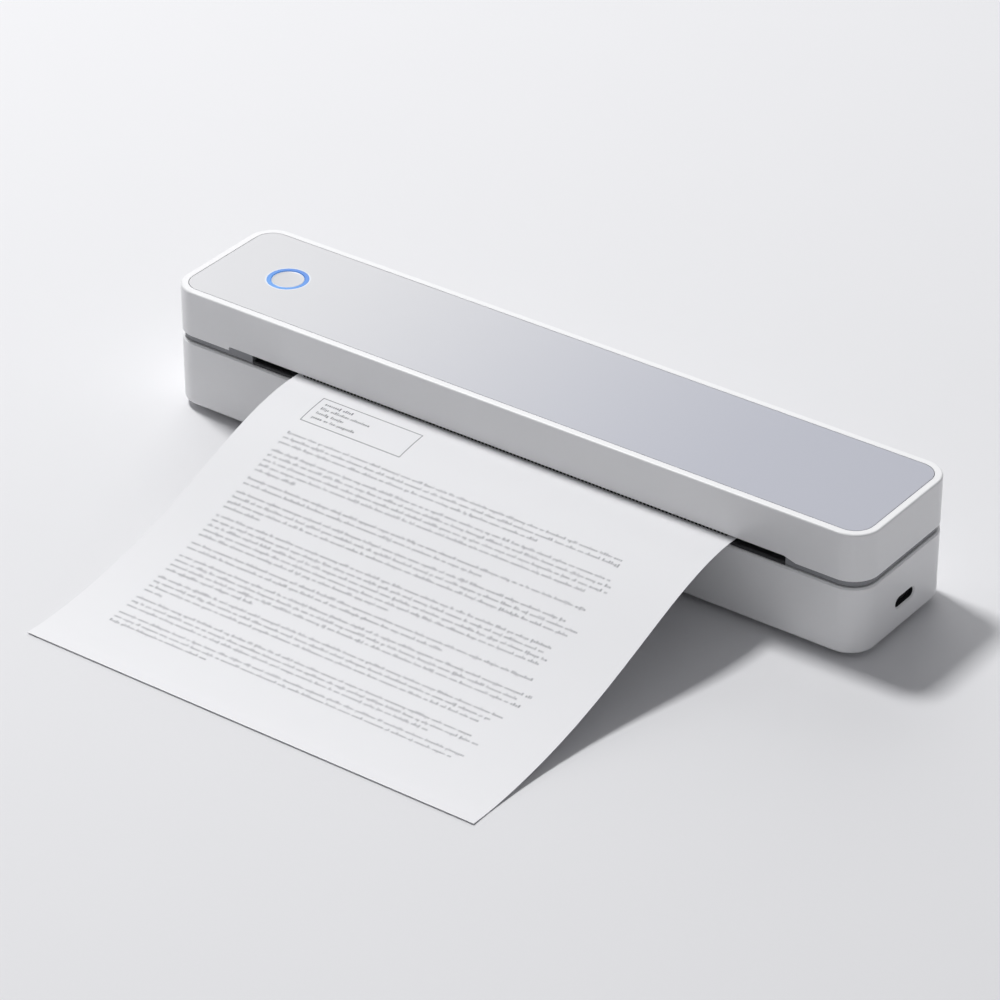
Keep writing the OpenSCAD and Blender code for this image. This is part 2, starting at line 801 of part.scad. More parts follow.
module battery_cells() {
    color(cell_blue)
        for (i = [0, 1])
            translate([pack_x0 + i * (cell_l + cell_gap), 0, 0]) difference() {
                rod_x(0, cell_l, cell_y, cell_z, cell_r);
                difference() {
                    rod_x(cell_l - 2.2, cell_l - 1.6, cell_y, cell_z, cell_r + 1);
                    rod_x(cell_l - 3, cell_l, cell_y, cell_z, cell_r - 0.4);
                }
            }
}

module cell_tabs() {
    color(steel) {
        box([pack_x0 + cell_l, cell_y - tab_half, cell_z - tab_half],
            [pack_x0 + cell_l + cell_gap, cell_y + tab_half, cell_z + tab_half]);
        for (x = [pack_x0 - tab_t, pack_x0 + pack_l])
            box([x, cell_y - tab_half, cell_z - 4], [x + tab_t, cell_y + tab_half, cell_z + cell_r - 2]);
    }
}

function board_holes() = [
    for (x = [board_x0 + board_hole_in, board_x1 - board_hole_in - 2.5],
         y = [board_y0 + board_hole_in, board_y1 - board_hole_in]) [x, y]
];

module main_board() {
    color(board_green) difference() {
        box([board_x0, board_y0, board_z], [board_x1, board_y1, board_top]);
        for (p = board_holes())
            translate([p[0], p[1], board_z - 1]) cylinder(r = screw_r + screw_play, h = board_t + 2);
    }
}

module board_screws() {
    color(steel)
        for (p = board_holes())
            translate([p[0], p[1], board_top]) mirror([0, 0, 1]) pan_screw(board_t + 4);
}

module board_chips() {
    color(part_black) {
        for (c = chips) translate([board_x0 + c[0], board_y0 + c[1], board_top]) cube([c[2], c[3], c[4]]);
        for (x = can_xs)
            translate([board_x0 + x, board_y0 + can_in, board_top]) cylinder(r = can_r, h = can_h);
        for (x = small_xs)
            translate([board_x0 + x, board_y1 - small_in, board_top]) cube([small_l, small_w, small_h]);
    }
}

// Sockets on the board for the motor, the battery and the head ribbon
module board_connectors() {
    color(shell_white) {
        for (y = socket_rows) translate([board_x0 + socket_in, y - socket_w / 2, board_top]) difference() {
            cube([socket_l, socket_w, socket_h]);
            translate([-1, socket_skin, socket_skin])
                cube([1 + socket_l - 1.5, socket_w - 2 * socket_skin, socket_h]);
        }
        box([ribbon_x0 - 1, connector_y, board_top],
            [ribbon_x0 + ribbon_w + 1, connector_y + connector_d, board_top + connector_h]);
    }
}

module usb_receptacle() {
    mouth = in_x - 0.2;
    color(steel) {
        difference() {
            along_x(mouth - usb_l, mouth) translate([0, port_z]) pill(usb_w, usb_h);
            along_x(mouth - usb_l + 1, mouth + 1) translate([0, port_z])
                pill(usb_w - 2 * usb_skin, usb_h - 2 * usb_skin);
        }
        along_x(mouth - usb_l + 0.5, mouth - 0.6) translate([0, port_z])
            square([tongue_w, tongue_t], center = true);
    }
}

// Leads that lie in the case, as their routes' points
motor_lead_points = [
    [-111.3, 5.9, 12], [-109, 5.9, 12], [-106, 5, 11.4], [-103, 3, 10], [-99, 1, 8.6], [-94, 0, 8],
    [-70, 0, 8], [-40, 0, 8], [-10, 0, 8], [15, 0, 8], [27, -0.6, 8.4], [33, -2.4, 10.4], [38, -5.4, 13.4],
    [41.5, -7.4, 14.9], [46.3, -8, 15]
];
battery_lead_points = [
    [32.9, 16, 20.5], [35, 16, 20.5], [37.5, 15.6, 20], [40, 14.2, 18.4], [42, 12, 16.2],
    [43.6, 10.6, 15.2], [46.3, 10, 15]
];
button_lead_points = [
    [-118.2, 8, 48.2], [-115, 10, 48.2], [-111, 14, 47.4], [-107, 19, 46], [-103, 23, 45.4],
    [-97, 25.6, 45], [-90, 26, 45], [-50, 26, 45], [-10, 26, 45], [30, 26, 45], [70, 26, 45],
    [104, 26, 45], [110, 25.4, 44.8], [115, 24.4, 44.2], [119.6, 24, 43.6]
];
lead_r = 0.9;

module motor_lead() {
    color(part_black) tube(motor_lead_points, lead_r);
}

module battery_lead() {
    color(lead_red) tube(battery_lead_points, lead_r);
}

module button_lead() {
    color(part_black) tube(button_lead_points, 0.7);
}

// Optical sensor below the sheet: its body and the small board that it stands on
module paper_sensor() {
    pad_z = guide_z - guide_skin;
    color(part_black) {
        box([sheet_x - sensor_half, sensor_y - sensor_d / 2, pad_z],
            [sheet_x + sensor_half, sensor_y + sensor_d / 2, guide_z - 0.1]);
        box([sheet_x - 2 * sensor_half, sensor_y - sensor_pad / 2, pad_z - 1],
            [sheet_x + 2 * sensor_half, sensor_y + sensor_pad / 2, pad_z]);
    }
}

// Spring clips below the deck that grip the cover's studs
module latch_clips() {
    leaf_x = stud_ball_r + latch_gap;
    color(steel)
        for (s = [-1, 1])
            translate([s * latch_x, latch_y, deck_z]) {
                for (m = [0, 1]) mirror([m, 0, 0]) {
                    box([leaf_x, -2.5, -clip_depth], [leaf_x + leaf_t, 2.5, 0]);
                    box([leaf_x, -2.5, -leaf_t], [leaf_x + leaf_t + 0.9, 2.5, 0]);
                }
                box([-leaf_x - leaf_t, -2.5, -clip_depth], [leaf_x + leaf_t, 2.5, -clip_depth + leaf_t]);
            }
}

ribbon_base_points = [
    [connector_y + connector_d + 0.1, board_top + 1.4], [connector_y + connector_d + 4, board_top + 1.6],
    [in_y - 2.6, board_top + 4.4],
    [in_y - 1.2, board_top + 8.4], [in_y - 1.2, case_top - 0.6], [hinge_y - 0.9, case_top + 0.6],
    [hinge_y, hinge_z - 0.25]
];
ribbon_cover_points = [
    [hinge_y, hinge_z + 0.25], [hinge_y - 1, hinge_z + 1.2], [in_y - 0.9, cover_bot + 1],
    [in_y - 0.9, panel_top + 1.6], [in_y - 3.3, panel_top + 3.6], [in_y - 9.8, sink_top + 1.9],
    [platen_y + 5.7, sink_top + 1.9]
];

module ribbon_base() {
    color(part_black) along_x(ribbon_x0, ribbon_x0 + ribbon_w) polygon(band(ribbon_base_points, ribbon_t));
}

module ribbon_cover() {
    color(part_black) along_x(ribbon_x0, ribbon_x0 + ribbon_w) polygon(band(ribbon_cover_points, ribbon_t));
}

// Section of the cover's wall and rim
module cover_section() {
    rim_in = rim_w - plate_gap;
    difference() {
        union() {
            translate([-wall, cover_bot]) square([wall, cover_h]);
            translate([-rim_in, roof_z]) square([rim_in, top_z - roof_z]);
        }
        translate([-rim_edge_r, top_z - rim_edge_r]) difference() {
            square([rim_edge_r + 1, rim_edge_r + 1]);
            circle(rim_edge_r);
        }
        polygon([[-rim_in - 1, top_z - 0.3], [-rim_in, top_z - 0.3], [-rim_in + 0.3, top_z],
                 [-rim_in + 0.3, top_z + 1], [-rim_in - 1, top_z + 1]]);
    }
}

module top_cover() {
    color(shell_white) difference() {
        union() {
            ring_sweep(body_l, body_d, corner_r) cover_section();
            translate([0, 0, roof_z]) linear_extrude(roof_t)
                rrect(body_l - 2 * wall + 0.4, body_d - 2 * wall + 0.4, corner_r - wall + 0.2);
            for (p = liner_posts)
                translate([p[0], p[1], panel_top]) cylinder(r = liner_post_r, h = roof_z - panel_top + 0.5);
            for (s = [-1, 1])
                translate([button_x + s * button_post_x, s * button_post_y, switch_z])
                    cylinder(r = button_post_r, h = roof_z - switch_z + 0.5);
        }
        translate([0, front_y + wall + 1, 0]) rotate([90, 0, 0]) linear_extrude(wall + 2)
            polygon([[notch_x0, cover_bot - 1], [notch_x0, notch_z], [notch_x1, notch_z],
                     [notch_x1 + notch_slope, cover_bot], [notch_x1 + notch_slope, cover_bot - 1]]);
        box([inlet_x0, in_y - 1, cover_bot - 1], [inlet_x1, in_y + wall + 1, notch_z]);
        box([sheet_x - tear_l / 2 - 0.1, front_y + tear_skin - run_gap, notch_z - 1],
            [sheet_x + tear_l / 2 + 0.1, front_y + tear_skin + tear_t + run_gap, tear_top_z + 0.1]);
        translate([button_x, 0, roof_z - 1]) cylinder(r = ring_sleeve_r + 0.1, h = roof_t + 2);
        for (p = liner_posts)
            translate([p[0], p[1], panel_top - 1]) cylinder(r = screw_r + press_gap, h = 11);
        for (s = [-1, 1])
            translate([button_x + s * button_post_x, s * button_post_y, switch_z - 1])
                cylinder(r = small_screw_r + press_gap, h = 5);
        for (p = bracket_holes())
            translate([p[0], p[1], roof_z - 1]) cylinder(r = small_screw_r + press_gap, h = 2.5);
    }
}

module top_plate() {
    color(plate_grey) translate([0, 0, plate_z]) linear_extrude(plate_t) difference() {
        rrect(body_l - 2 * rim_w, body_d - 2 * rim_w, corner_r - rim_w);
        translate([button_x, 0]) circle(ring_r + ring_fit);
    }
}

// Section of the liner's skirt, seen as the grey band between the shells
module liner_section() {
    polygon([[-band_inset, liner_bot], [-band_inset, cover_bot], [-wall - 0.1, cover_bot],
             [-wall - 0.1, panel_top], [-wall - liner_t, panel_top], [-wall - liner_t, liner_bot]]);
}

module cover_liner() {
    wing = knuckle_mid / 2 - 0.15;
    color(liner_grey) difference() {
        union() {
            difference() {
                union() {
                    ring_sweep(body_l, body_d, corner_r) liner_section();
                    translate([0, 0, panel_z]) linear_extrude(panel_t)
                        rrect(body_l - 2 * wall - 1, body_d - 2 * wall - 1, corner_r - wall - 0.5);
                }
                box([slot_x0, front_y - 1, liner_bot - 1], [slot_x1, -in_y + liner_t + 0.3, panel_z]);
                box([inlet_x0, in_y - liner_t - 0.3, liner_bot - 1], [inlet_x1, body_d, panel_z]);
                for (s = [-1, 1])
                    box([s * hinge_x - knuckle_l / 2 - 0.3, in_y - 2.3 - nip, liner_bot - 1],
                        [s * hinge_x + knuckle_l / 2 + 0.3, body_d, cover_bot + 0.2]);
            }
            for (s = [-1, 1]) {
                rod_x(s * hinge_x - wing, s * hinge_x + wing, hinge_y, hinge_z, knuckle_r);
                box([s * hinge_x - wing, in_y - liner_t, hinge_z],
                    [s * hinge_x + wing, in_y - 0.1, panel_top]);
                box([s * hinge_x - wing, in_y - 0.2, hinge_z],
                    [s * hinge_x + wing, hinge_y, hinge_z + knuckle_r]);
            }
            notch_blocks();
            for (i = [0 : 7])
                box([sheet_x - 98 + i * 28 - 0.6, platen_y + head_half_d + 3, panel_z - rib_h],
                    [sheet_x - 98 + i * 28 + 0.6, in_y - 4, panel_z + eps]);
        }
        box([head_x0 - 1, platen_y - head_half_d - bracket_gap - 0.3, panel_z - 1],
            [head_x1 + 1, platen_y + head_half_d + bracket_gap + 0.3, panel_top + 1]);
        for (s = [-1, 1]) {
            rod_x(s * hinge_x - knuckle_l, s * hinge_x + knuckle_l, hinge_y, hinge_z, hinge_pin_r + run_gap);
            translate([s * latch_x, latch_y, panel_z - 1])
                cylinder(r = stud_post_r + press_gap, h = panel_t + 2);
        }
        for (p = liner_posts)
            translate([p[0], p[1], panel_z - 1]) cylinder(r = screw_r + screw_play, h = panel_t + 2);
        box([ribbon_x0 - ribbon_slot, in_y - 2.4, liner_bot - 1],
            [ribbon_x0 + ribbon_w + ribbon_slot, body_d, panel_top + 1]);
    }
}

// Blocks of the liner that fill the two ends of the cover's front notch
module notch_blocks() {
    depth = wall - band_inset;
    translate([0, lip_y + depth + 0.5, 0]) rotate([90, 0, 0]) linear_extrude(depth + 0.5) {
        polygon([[notch_x0 + loose, cover_bot - 0.5], [notch_x0 + loose, notch_z - loose],
                 [slot_x0, notch_z - loose], [slot_x0, cover_bot - 0.5]]);
        polygon([[slot_x1, cover_bot - 0.5], [slot_x1, notch_z - 2 * loose],
                 [notch_x1 + notch_slope - 4 * loose, cover_bot], [notch_x1 + notch_slope, cover_bot - 0.5]]);
    }
}

module liner_screws() {
    color(steel)
        for (p = liner_posts) translate([p[0], p[1], panel_z]) pan_screw(panel_t + liner_screw_bite);
}

module latch_studs() {
    color(steel)
        for (s = [-1, 1]) translate([s * latch_x, latch_y, 0]) {
            translate([0, 0, stud_ball_z]) sphere(stud_ball_r);
            translate([0, 0, stud_ball_z]) cylinder(r = stud_post_r, h = panel_top - stud_ball_z + 0.5);
            translate([0, 0, panel_top]) cylinder(r = stud_post_r + 1.1, h = 1);
        }
}

// Steel strip with a toothed edge, held in a slit of the cover's front wall
module tear_bar() {
    teeth = [for (i = [0 : tear_n - 1], k = [0, 1])
        [(i + k * 0.5) * tear_pitch, k == 0 ? tear_depth : 0]];
    color(steel)
        translate([sheet_x - tear_l / 2, front_y + tear_skin + tear_t, tear_tip_z])
            rotate([90, 0, 0]) linear_extrude(tear_t)
                polygon(concat(teeth, [[tear_l, tear_depth], [tear_l, tear_top_z - tear_tip_z],
                                       [0, tear_top_z - tear_tip_z]]));
}

// Light guide ring: a collar in the top plate and a sleeve that reaches down to the lamps
module light_ring() {
    color(ring_blue) translate([button_x, 0, 0]) difference() {
        union() {
            translate([0, 0, plate_z]) cylinder(r = ring_r, h = plate_t);
            translate([0, 0, ring_sleeve_z]) cylinder(r = ring_sleeve_r, h = plate_z - ring_sleeve_z + eps);
        }
        translate([0, 0, ring_sleeve_z - 1]) cylinder(r = ring_in_r, h = top_z);
    }
}

module button_board() {
    color(board_green) difference() {
        translate([button_x, 0, button_board_z]) linear_extrude(button_board_t)
            rrect(button_board_l, button_board_d, 2);
        for (s = [-1, 1])
            translate([button_x + s * button_post_x, s * button_post_y, button_board_z - 1])
                cylinder(r = 1, h = button_board_t + 2);
    }
}

module button_board_screws() {
    color(steel)
        for (s = [-1, 1])
            translate([button_x + s * button_post_x, s * button_post_y, button_board_z])
                pan_screw(button_board_t + 3, r = small_screw_r, head_r = 2 * small_screw_r, head_h = 0.9);
}

module status_leds() {
    color(ring_blue)
        for (a = [0 : 45 : 315])
            translate([button_x, 0, switch_z]) rotate([0, 0, a + 8])
                box([ring_in_r - 0.6, -0.8, 0], [ring_sleeve_r + 0.2, 0.8, 0.7]);
}

module tact_switch() {
    color(part_black) difference() {
        translate([button_x - switch_side / 2, -switch_side / 2, switch_z])
            cube([switch_side, switch_side, switch_h]);
        translate([button_x, 0, button_flange_z - plunger_l - button_travel - run_gap])
            cylinder(r = plunger_r + 0.1, h = switch_h);
    }
}

module power_button() {
    color(plate_grey) translate([button_x, 0, 0]) {
        translate([0, 0, button_flange_z]) cylinder(r = button_flange_r, h = button_flange_t);
        difference() {
            translate([0, 0, button_flange_z])
                cylinder(r = button_r, h = top_z - button_drop - button_flange_z);
            translate([0, 0, top_z - button_drop + dish_r - dish_depth]) sphere(dish_r);
        }
    }
}

module switch_plunger() {
    color(part_black)
        translate([button_x, 0, button_flange_z - plunger_l]) cylinder(r = plunger_r, h = plunger_l);
}

// Steel channel below the roof that carries the print head
module head_bracket() {
    x0 = head_x0 - bracket_over;
    x1 = head_x1 + bracket_over;
    color(steel) difference() {
        union() {
            box([x0, platen_y - bracket_half_d, bracket_z], [x1, platen_y + bracket_half_d, roof_z]);
            for (s = [0, 1]) translate([0, platen_y, 0]) mirror([0, s, 0])
                box([x0, bracket_half_d - bracket_t, bracket_z - bracket_lip],
                    [x1, bracket_half_d, bracket_z + eps]);
        }
        for (x = shoulder_xs())
            translate([x, platen_y, bracket_z - 1]) cylinder(r = shoulder_r + press_gap, h = 4);
        for (p = bracket_holes())
            translate([p[0], p[1], bracket_z - 1]) cylinder(r = small_screw_r + 0.1, h = 4);
    }
}
function shoulder_xs() = [head_x0 + shoulder_in, head_x1 - shoulder_in];
function bracket_holes() = [
    for (x = [head_x0 - bracket_over + 3.5, head_x1 + bracket_over - 3.5], s = [-1, 1])
        [x, platen_y + s * 5.5]
];

module bracket_screws() {
    color(steel)
        for (p = bracket_holes())
            translate([p[0], p[1], bracket_z])
                pan_screw(bracket_t + plate_screw_bite, r = small_screw_r, head_r = 2 * small_screw_r,
                          head_h = 0.9);
}

// Shoulder screws that guide the print head and stop it at its lowest place
module head_shoulder_screws() {
    color(steel)
        for (x = shoulder_xs()) translate([x, platen_y, sink_z - run_gap]) {
            translate([0, 0, -shoulder_head_h]) cylinder(r = shoulder_head_r, h = shoulder_head_h);
            translate([0, 0, -eps]) cylinder(r = shoulder_r, h = roof_z - sink_z + run_gap);
        }
}

// Coil spring centre line, closed at both ends
function coil(x, y, z0, z1) =
    let (steps = spring_turns * 8)
    [for (i = [0 : steps]) let (a = i * 45)
        [x + spring_r * cos(a), y + spring_r * sin(a), z0 + (z1 - z0) * i / steps]];

module head_springs() {
    color(steel)
        for (x = spring_xs)
            tube(coil(sheet_x + x, platen_y, sink_top + spring_wire + spring_seat,
                      bracket_z - spring_wire - spring_seat), spring_wire, 6);
}

module print_head_heatsink() {
    color(aluminium) difference() {
        along_x(head_x0, head_x1) translate([platen_y, 0]) {
            translate([-head_half_d, sink_z]) square([2 * head_half_d, sink_t]);
            for (s = [0, 1]) mirror([s, 0]) for (y = [channel_half, head_half_d - fin_t])
                translate([y, sink_top - eps]) square([fin_t, fin_h + eps]);
        }
        for (x = shoulder_xs())
            translate([x, platen_y, sink_z - 1]) cylinder(r = shoulder_r + slide_gap, h = 8);
    }
}

module print_head_ceramic() {
    color(paper_white)
        box([sheet_x - ceramic_l / 2, platen_y - ceramic_half_d, head_z],
            [sheet_x + ceramic_l / 2, platen_y + ceramic_half_d, sink_z]);
}

// Black cover over the driver chips in front of the heater line
module driver_strip() {
    color(part_black)
        box([sheet_x - ceramic_l / 2 + 4, platen_y - head_half_d + 0.8, head_z + 0.4],
            [sheet_x + ceramic_l / 2 - 4, platen_y - ceramic_half_d - 0.2, sink_z]);
}

module head_board() {
    color(board_green) difference() {
        box([head_x1 - head_board_in, platen_y - head_board_half, sink_top],
            [ribbon_x0 + ribbon_w + 1.5, platen_y + head_board_half, sink_top + head_board_t]);
        translate([head_x1 - shoulder_in, platen_y, sink_top - 1]) cylinder(r = shoulder_r + 0.6, h = 3);
    }
}

module head_connector() {
    color(part_black)
        box([ribbon_x0 - 0.6, platen_y + 1, sink_top + head_board_t],
            [ribbon_x0 + ribbon_w + 0.6, platen_y + 1 + head_socket_d,
             sink_top + head_board_t + head_socket_h]);
}

module platen_shaft() {
    color(steel)
        rod_x(gear_x - gear_w - 1.6, side_right_x + side_t + 2, platen_y, platen_z, shaft_r);
}

module platen_rubber() {
    color(rubber_black) difference() {
        rod_x(rubber_x0, rubber_x1, platen_y, platen_z, platen_r);
        rod_x(rubber_x0 - 1, rubber_x1 + 1, platen_y, platen_z, shaft_r + press_gap);
    }
}

module platen_gear() {
    color(gear_white) gear(platen_teeth, platen_y, platen_z, train_angle, shaft_r + press_gap);
}

module shaft_clips() {
    color(steel) {
        e_clip(gear_x - gear_w - 0.1 - clip_t, platen_y, platen_z, shaft_r);
        e_clip(side_right_x + side_t + 1.1, platen_y, platen_z, shaft_r);
    }
}

module idler_gear() {
    color(gear_white) gear(idler_teeth, idler_y, idler_z, idler_phase, stud_r + run_gap);
}

module motor_shaft() {
    color(steel) rod_x(gear_x - gear_w - 0.4, side_left_x + 7.5, pinion_y, pinion_z, motor_shaft_r);
}

module motor_pinion() {
    color(brass) gear(pinion_teeth, pinion_y, pinion_z, pinion_phase, motor_shaft_r + press_gap);
}

// Centre line of the sheet: flat through the machine, then one free bend down to the surface
function bend(t) =
    let (p0 = [droop_y, sheet_mid], p1 = [droop_y - droop_out, sheet_mid],
         end_z = sheet_t / 2 + 0.05,
         p2 = [-sheet_reach + droop_in, end_z], p3 = [-sheet_reach, end_z], s = 1 - t)
    s * s * s * p0 + 3 * s * s * t * p1 + 3 * s * t * t * p2 + t * t * t * p3;
sheet_line = concat([[sheet_tail_y, sheet_mid]], [for (i = [0 : droop_steps]) bend(i / droop_steps)]);

module paper_sheet() {
    color(paper_white)
        along_x(sheet_x - sheet_w / 2, sheet_x + sheet_w / 2) polygon(band(sheet_line, sheet_t));
}

lower_case();
rubber_feet();
case_screws();
base_deck();
left_side_plate();
right_side_plate();
plate_screws();
platen_bushes();
idler_stud();
idler_clip();
motor_can();
motor_screws();
battery_cradle();
battery_cells();
cell_tabs();
main_board();
board_screws();
board_chips();
board_connectors();
usb_receptacle();
motor_lead();
battery_lead();
paper_sensor();
latch_clips();
hinge_pins();
ribbon_base();
top_cover();
top_plate();
cover_liner();
liner_screws();
latch_studs();
tear_bar();
light_ring();
button_board();
button_board_screws();
status_leds();
tact_switch();
button_lead();
head_bracket();
bracket_screws();
head_shoulder_screws();
head_springs();
ribbon_cover();
print_head_heatsink();
print_head_ceramic();
driver_strip();
head_board();
head_connector();
power_button();
switch_plunger();
platen_shaft();
platen_rubber();
platen_gear();
shaft_clips();
idler_gear();
motor_shaft();
motor_pinion();
paper_sheet();
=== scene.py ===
"""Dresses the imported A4 portable thermal printer: its shells, light ring, roller, insides and sheet.

Every class models in millimetres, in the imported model's frame. Workshop turns a finished mesh to metres.
"""

import logging
import math
import random
from bisect import bisect_right
from dataclasses import dataclass
from enum import Enum, IntEnum
from typing import Iterable, Sequence

import bmesh
import bpy
from mathutils import Matrix, Vector


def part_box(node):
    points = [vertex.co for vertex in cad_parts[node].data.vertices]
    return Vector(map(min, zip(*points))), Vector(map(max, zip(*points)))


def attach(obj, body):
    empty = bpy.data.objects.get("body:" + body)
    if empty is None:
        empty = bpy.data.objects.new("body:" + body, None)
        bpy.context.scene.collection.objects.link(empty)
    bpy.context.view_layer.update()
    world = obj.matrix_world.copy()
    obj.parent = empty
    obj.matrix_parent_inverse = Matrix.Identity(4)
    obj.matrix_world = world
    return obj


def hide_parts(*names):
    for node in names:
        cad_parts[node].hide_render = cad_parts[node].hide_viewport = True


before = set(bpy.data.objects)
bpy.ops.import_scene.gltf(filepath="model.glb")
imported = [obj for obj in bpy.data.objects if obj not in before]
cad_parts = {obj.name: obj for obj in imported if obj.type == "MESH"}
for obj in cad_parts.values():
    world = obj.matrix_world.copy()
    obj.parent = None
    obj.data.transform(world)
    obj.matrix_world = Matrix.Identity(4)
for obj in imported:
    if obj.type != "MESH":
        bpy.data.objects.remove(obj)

MM = 0.001
# Differences below this are rounding, in mm.
TINY = 1e-6
# Points closer than this are merged, in mm: on new pieces, and on the loose triangles of a node.
SAME_POINT = 1e-4
SAME_NODE_POINT = 1e-3
# Faces of a node that turn by less than this many degrees are one flat face.
FLAT = 0.6
# How far a cutter or a post reaches past the face that it meets, in mm.
OVER = 1.0
# A face looks a given way when its normal's share along that way is over this.
FACING = 0.99
# Edges that turn by more degrees than this stay sharp: on most pieces, and on wound or rolled ones.
SHARP = 32.0
SHARP_ROUND = 60.0
LOG = logging.getLogger("printer")


class Axis(Enum):
    """The three axes of the printer's frame."""

    X = Vector((1, 0, 0))
    Y = Vector((0, 1, 0))
    Z = Vector((0, 0, 1))


class Facets(IntEnum):
    """How many facets stand for one full turn, by how large the round shows."""

    SCREW = 28
    BORE = 32
    SMALL = 48
    WELL = 64
    CAN = 72
    DISC = 96
    RING = 128


class Grain(Enum):
    """How a surface was made, as the stretch of its pattern along X, Y and Z."""

    MOULDED = (1.0, 1.0, 1.0)
    ROLLED = (0.12, 1.0, 1.0)
    TURNED = (1.0, 0.06, 0.06)


# Numbers of a colour Mix node's two colour inputs and of its colour output.
MIX_A, MIX_B, MIX_RESULT = 6, 7, 2


def linear(hex_colour: str) -> tuple[float, float, float, float]:
    """Turns an sRGB hex colour to linear light.

    Args:
        hex_colour: six hex digits after a hash sign.

    Returns:
        Red, green, blue and an alpha of 1.
    """
    parts = [int(hex_colour[i:i + 2], 16) / 255 for i in (1, 3, 5)]
    return (*[c / 12.92 if c <= 0.04045 else ((c + 0.055) / 1.055) ** 2.4 for c in parts], 1.0)


def add_node(tree: bpy.types.NodeTree, kind: str, settings: dict[str | int, object] | None = None,
             links: dict[str | int, bpy.types.NodeSocket] | None = None) -> bpy.types.Node:
    """Adds a shader node with its options, its input values and its incoming links.

    Args:
        tree: the node tree that takes the node.
        kind: the node's Blender type.
        settings: options by name, and input values by input name or number.
        links: source sockets by input name or number.

    Returns:
        The new node.
    """
    node = tree.nodes.new(kind)
    for name, value in (settings or {}).items():
        if isinstance(name, int) or name in node.inputs:
            node.inputs[name].default_value = value
        else:
            setattr(node, name, value)
    for name, socket in (links or {}).items():
        tree.links.new(socket, node.inputs[name])
    return node


@dataclass(frozen=True)
class Finish:
    """A surface finish: what it is made of, and the record's material slot that it is meant for.

    Attributes:
        name: material and process, which name the node material.
        slot: the record's material slot; not used.
        colour: its sRGB colour.
        roughness: its middle roughness.
        grain: how the fine pattern is stretched.
        grain_mm: size of the fine pattern.
        relief_mm: depth of the fine pattern.
        shade: how much darker its slow drift goes, as a share.
        metallic: 1 for bare metal, less for flakes in a lacquer.
        ior: index of refraction, where it isn't a metal.
        coat: strength of a clear coat.
        coat_rough: roughness of that coat.
        rough_range: least and most roughness, as shares of the middle one.
        drift_grains: size of the slow drift, in grains.
    """

    name: str
    slot: str
    colour: str
    roughness: float
    grain: Grain = Grain.MOULDED
    grain_mm: float = 0.6
    relief_mm: float = 0.01
    shade: float = 0.03
    metallic: float = 0.0
    ior: float = 1.5
    coat: float = 0.0
    coat_rough: float = 0.2
    rough_range: tuple[float, float] = (0.88, 1.12)
    drift_grains: float = 40.0

    def material(self) -> bpy.types.Material:
        """Builds the finish's node material once.

        Returns:
            The material, which is the same one on every later call.
        """
        made = bpy.data.materials.get(self.name)
        if made:
            return made
        made = bpy.data.materials.new(self.name)
        made.use_nodes = True
        tree = made.node_tree
        tree.nodes.clear()
        shader = add_node(tree, "ShaderNodeBsdfPrincipled", {
            "Metallic": self.metallic, "Coat Weight": self.coat, "Coat Roughness": self.coat_rough})
        if self.metallic < 0.5:
            shader.inputs["IOR"].default_value = self.ior
        place = add_node(tree, "ShaderNodeTexCoord").outputs["Object"]
        self.relief(tree, shader, place)
        tree.links.new(self.tint(tree, place), shader.inputs["Base Color"])
        self.light(tree, shader, place)
        add_node(tree, "ShaderNodeOutputMaterial", {}, {"Surface": shader.outputs[0]})
        return made

    def relief(self, tree: bpy.types.NodeTree, shader: bpy.types.Node,
               place: bpy.types.NodeSocket) -> None:
        """Joins the fine grain to the shader's roughness and normal.

        Args:
            tree: the material's node tree.
            shader: the material's main shader.
            place: the point's object coordinates.
        """
        turned = add_node(tree, "ShaderNodeMapping", {"Scale": self.grain.value}, {"Vector": place})
        fine = add_node(tree, "ShaderNodeTexNoise", {
            "Scale": 1 / (self.grain_mm * MM), "Detail": 3.0, "Roughness": 0.6},
            {"Vector": turned.outputs[0]})
        least, most = (self.roughness * share for share in self.rough_range)
        rough = add_node(tree, "ShaderNodeMapRange", {"To Min": least, "To Max": min(1.0, most)},
                         {"Value": fine.outputs["Fac"]})
        tree.links.new(rough.outputs[0], shader.inputs["Roughness"])
        bump = add_node(tree, "ShaderNodeBump", {"Strength": 1.0, "Distance": self.relief_mm * MM},
                        {"Height": fine.outputs["Fac"]})
        tree.links.new(bump.outputs[0], shader.inputs["Normal"])

    def tint(self, tree: bpy.types.NodeTree, place: bpy.types.NodeSocket) -> bpy.types.NodeSocket:
        """Gives the colour with its slow drift in shade over the surface.

        Args:
            tree: the material's node tree.
            place: the point's object coordinates.

        Returns:
            The socket that carries the colour.
        """
        broad = add_node(tree, "ShaderNodeTexNoise", {
            "Scale": 1 / (self.drift_grains * self.grain_mm * MM), "Detail": 2.0}, {"Vector": place})
        base = linear(self.colour)
        dark = tuple(c * (1 - self.shade) for c in base[:3]) + (1.0,)
        mixed = add_node(tree, "ShaderNodeMix", {"data_type": "RGBA", MIX_A: base, MIX_B: dark},
                         {0: broad.outputs["Fac"]})
        return mixed.outputs[MIX_RESULT]

    def light(self, tree: bpy.types.NodeTree, shader: bpy.types.Node,
              place: bpy.types.NodeSocket) -> None:
        """Leaves a finish without light of its own; finishes that glow put theirs here."""


